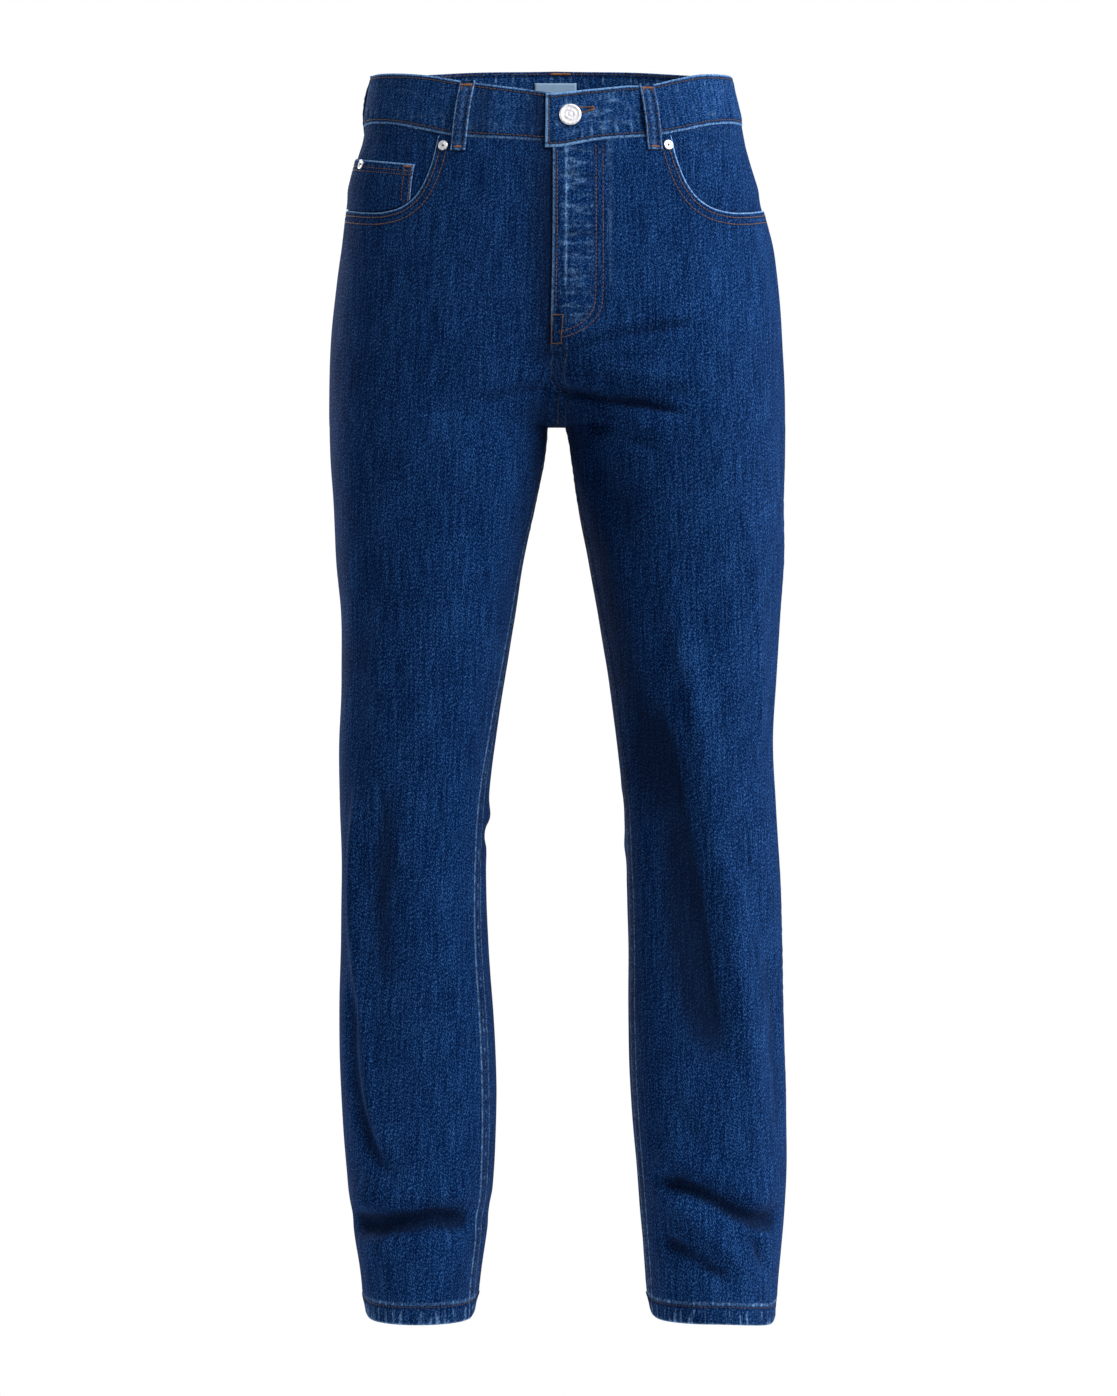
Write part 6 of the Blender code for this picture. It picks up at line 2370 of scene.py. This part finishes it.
# Profiles as shares of the radius and heights in millimetres, from the axis outwards
BUTTON_PROFILE = (
    (0.0, 2.26), (0.16, 2.26), (0.22, 2.12), (0.28, 2.12), (0.34, 2.26), (0.46, 2.26),
    (0.52, 2.14), (0.64, 2.14), (0.70, 2.20), (0.76, 2.42), (0.84, 2.50), (0.90, 2.42),
    (0.95, 2.15), (0.98, 1.80), (1.0, 1.15), (0.985, 0.60), (0.94, 0.20), (0.86, 0.0))
RIVET_PROFILE = (
    (0.0, 0.75), (0.30, 0.80), (0.40, 0.95), (0.60, 1.00), (0.74, 1.25), (0.84, 1.42),
    (0.93, 1.25), (0.99, 0.75), (1.0, 0.40), (0.96, 0.0), (0.0, 0.0))
NIB_PROFILE = ((0.0, 1.8), (0.10, 1.7), (0.19, 1.3), (0.24, 0.9), (0.24, 0.5), (0.0, 0.5))


def sized(profile: Sequence[tuple[float, float]], radius: float,
          foot: float = 0.0) -> list[tuple[float, float]]:
    """A profile's radii and heights for a radius, standing on a foot."""
    return [(share * radius, foot + height / 1000) for share, height in profile]


@dataclass
class WaistButton(Trim):
    """The fastened button: a rimmed head with a plain ring of beads, and its shank."""

    radius: float = 0.0093
    shank_radius: float = 0.0018
    shank_length: float = 0.0036
    beads: int = 26
    bead_share: float = 0.58
    bead_radius: float = 0.00034
    bead_height: float = 0.00196

    def build(self, wardrobe: dict[str, Any]) -> None:
        """Makes and dresses the button."""
        place = self.frame_at(Waistband.lap_out(self.from_centre))
        profile = sized(BUTTON_PROFILE, self.radius, GAP) + [(self.shank_radius, GAP)]
        profile += [(self.shank_radius, -self.shank_length), (0.0, -self.shank_length)]
        dress(self.turned("metal", profile, place, wardrobe["button_silver"]), "button_metal", self.name)
        made = bmesh.new()
        for turn in 2 * pi * np.arange(self.beads) / self.beads:
            across = self.bead_share * self.radius
            spot = Matrix.Translation((across * np.cos(turn), across * np.sin(turn), GAP + self.bead_height))
            bmesh.ops.create_uvsphere(
                made, u_segments=10, v_segments=7, radius=self.bead_radius, matrix=place @ spot)
        beads = add_object(finished_mesh(f"{self.name}_beads", made), wardrobe["button_silver"])
        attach(beads, "root")


@dataclass
class PocketRivet(Trim):
    """A flat rivet with a raised rim and a dark nib."""

    radius: float = 0.0043
    steps: int = 40

    def build(self, wardrobe: dict[str, Any]) -> None:
        """Makes and dresses the rivet."""
        place = self.frame_at(self.out + GAP)
        cap = self.turned("metal", sized(RIVET_PROFILE, self.radius), place, wardrobe["rivet_silver"])
        dress(cap, "rivet_metal", self.name)
        nib = self.turned("nib", sized(NIB_PROFILE, self.radius), place, wardrobe["rivet_nib"])
        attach(nib, "root")


class Lamp(NamedTuple):
    """A large soft lamp that looks at the middle of the jeans."""

    name: str
    place: tuple[float, float, float]
    size: float
    power: float


LAMPS = (
    Lamp("key", (2.3, -1.75, 1.5), 2.2, 124),
    Lamp("top", (0.8, -1.4, 2.6), 2.0, 22),
    Lamp("fill", (-2.9, -0.5, 0.3), 1.2, 24),
    Lamp("rim", (3.0, 0.6, 0.1), 1.2, 52),
    Lamp("back", (-1.8, 2.6, 0.4), 1.6, 70),
)


@dataclass
class Studio:
    """A pale floor, soft light and the camera."""

    distance: float = 4.0
    aim: tuple[float, float] = (0.00255, -0.51)
    lens: float = 121.4
    sensor: float = 36.0
    lit_z: float = -0.5
    floor_z: float = -1.32
    floor_radius: float = 1.4
    floor_sides: int = 96
    glow: float = 0.08
    seen_glow: float = 0.97
    mirrored_glow: float = 0.60

    def build(self) -> None:
        """Makes the studio."""
        self.place_camera()
        bpy.context.scene.view_settings.view_transform = "Standard"
        for lamp in LAMPS:
            self.hang_lamp(lamp)
        self.lay_floor()
        self.hang_backdrop()

    def place_camera(self) -> None:
        """Stands the camera level in front of the jeans."""
        data = bpy.data.cameras.new("camera")
        data.lens = self.lens
        data.sensor_width = self.sensor
        camera = bpy.data.objects.new("camera", data)
        camera.location = (self.aim[0], -self.distance, self.aim[1])
        camera.rotation_euler = (pi / 2, 0, 0)
        bpy.context.scene.collection.objects.link(camera)
        bpy.context.scene.camera = camera

    def lay_floor(self) -> None:
        """Lays a wide floor well below the hems."""
        turns = 2 * pi * np.arange(self.floor_sides) / self.floor_sides
        reach, low = self.floor_radius, self.floor_z
        rim = [(reach * np.cos(turn), reach * np.sin(turn), low) for turn in turns]
        mesh = bpy.data.meshes.new("studio_floor")
        mesh.from_pydata(rim, [], [range(self.floor_sides)])
        add_object(mesh, Floor().material())

    def hang_backdrop(self) -> None:
        """Surrounds the studio with white, dimmer as a light than it looks."""
        world = bpy.data.worlds.new("studio")
        world.use_nodes = True
        bpy.context.scene.world = world
        graph = NodeGraph(world.node_tree)
        seen = graph.node("ShaderNodeLightPath", {}, {}, "Is Camera Ray")
        glossy = graph.node("ShaderNodeLightPath", {}, {}, "Is Glossy Ray")
        strength = (self.glow + self.seen_glow * seen + self.mirrored_glow * glossy).clamped()
        graph.plug(world.node_tree.nodes["Background"], {"Color": (1, 1, 1, 1), "Strength": strength})

    def hang_lamp(self, lamp: Lamp) -> None:
        """Hangs a lamp and turns it to the jeans."""
        light = bpy.data.lights.new(lamp.name, "AREA")
        light.shape = "DISK"
        light.size = lamp.size
        light.energy = lamp.power
        obj = bpy.data.objects.new(lamp.name, light)
        obj.location = lamp.place
        toward = Vector((0, 0, self.lit_z)) - Vector(lamp.place)
        obj.rotation_euler = toward.to_track_quat("-Z", "Y").to_euler()
        bpy.context.scene.collection.objects.link(obj)


def pieces_of(surface: BodySurface) -> list[Piece]:
    """The pieces of the jeans, in the order of their making.

    Args:
        surface: The surface that they lie on.

    Returns:
        The pieces.
    """
    pieces: list[Piece] = []
    for side in Side:
        word = side.name.lower()
        pieces += [
            LegPanel(surface, f"front_{word}", side, FRONT),
            LegPanel(surface, f"back_{word}", side, BACK),
            Yoke(surface, f"yoke_{word}", side),
            PocketFacing(surface, f"pocket_facing_{word}", side),
            BackPocket(surface, f"back_pocket_{word}", side),
            HemTurn(surface, f"hem_{word}", side),
        ]
    return pieces + [
        CoinPocket(surface, "coin_pocket", RIGHT),
        Waistband(surface, "waistband"),
        BeltLoop(surface, "belt_loop_front_left", LEFT, FRONT, 0.0767, 0.0838),
        BeltLoop(surface, "belt_loop_front_right", RIGHT, FRONT, 0.0735, 0.0818),
        BeltLoop(surface, "belt_loop_side_left", LEFT, BACK, 0.1650, 0.1670),
        # This loop is painted in shade
        BeltLoop(surface, "belt_loop_side_right", RIGHT, BACK, 0.1820, 0.1860, shade=0.55),
        BeltLoop(surface, "belt_loop_back", LEFT, BACK, 0.0, 0.0, above=-0.0016),
        WaistButton(surface, "waist_button", LEFT, BUTTON_FROM_CENTRE, BUTTON_Z),
        PocketRivet(surface, "rivet_left", LEFT, 0.0955, -0.0500),
        PocketRivet(surface, "rivet_right", RIGHT, 0.0948, -0.0506),
        PocketRivet(surface, "rivet_coin", RIGHT, 0.1830, -0.0607, PATCH_GAP + POCKET_WALL),
        Label(surface, "label"),
    ]


def main() -> None:
    """Builds the jeans, piece by piece, and the studio round them."""
    logging.basicConfig(level=logging.INFO, format="%(message)s")
    wardrobe = {finish.name: finish.material() for finish in FINISHES}
    for piece in pieces_of(BodySurface()):
        piece.build(wardrobe)
        LOG.info("made %s", piece.name)
    Studio().build()


if __name__ == "__main__":
    main()
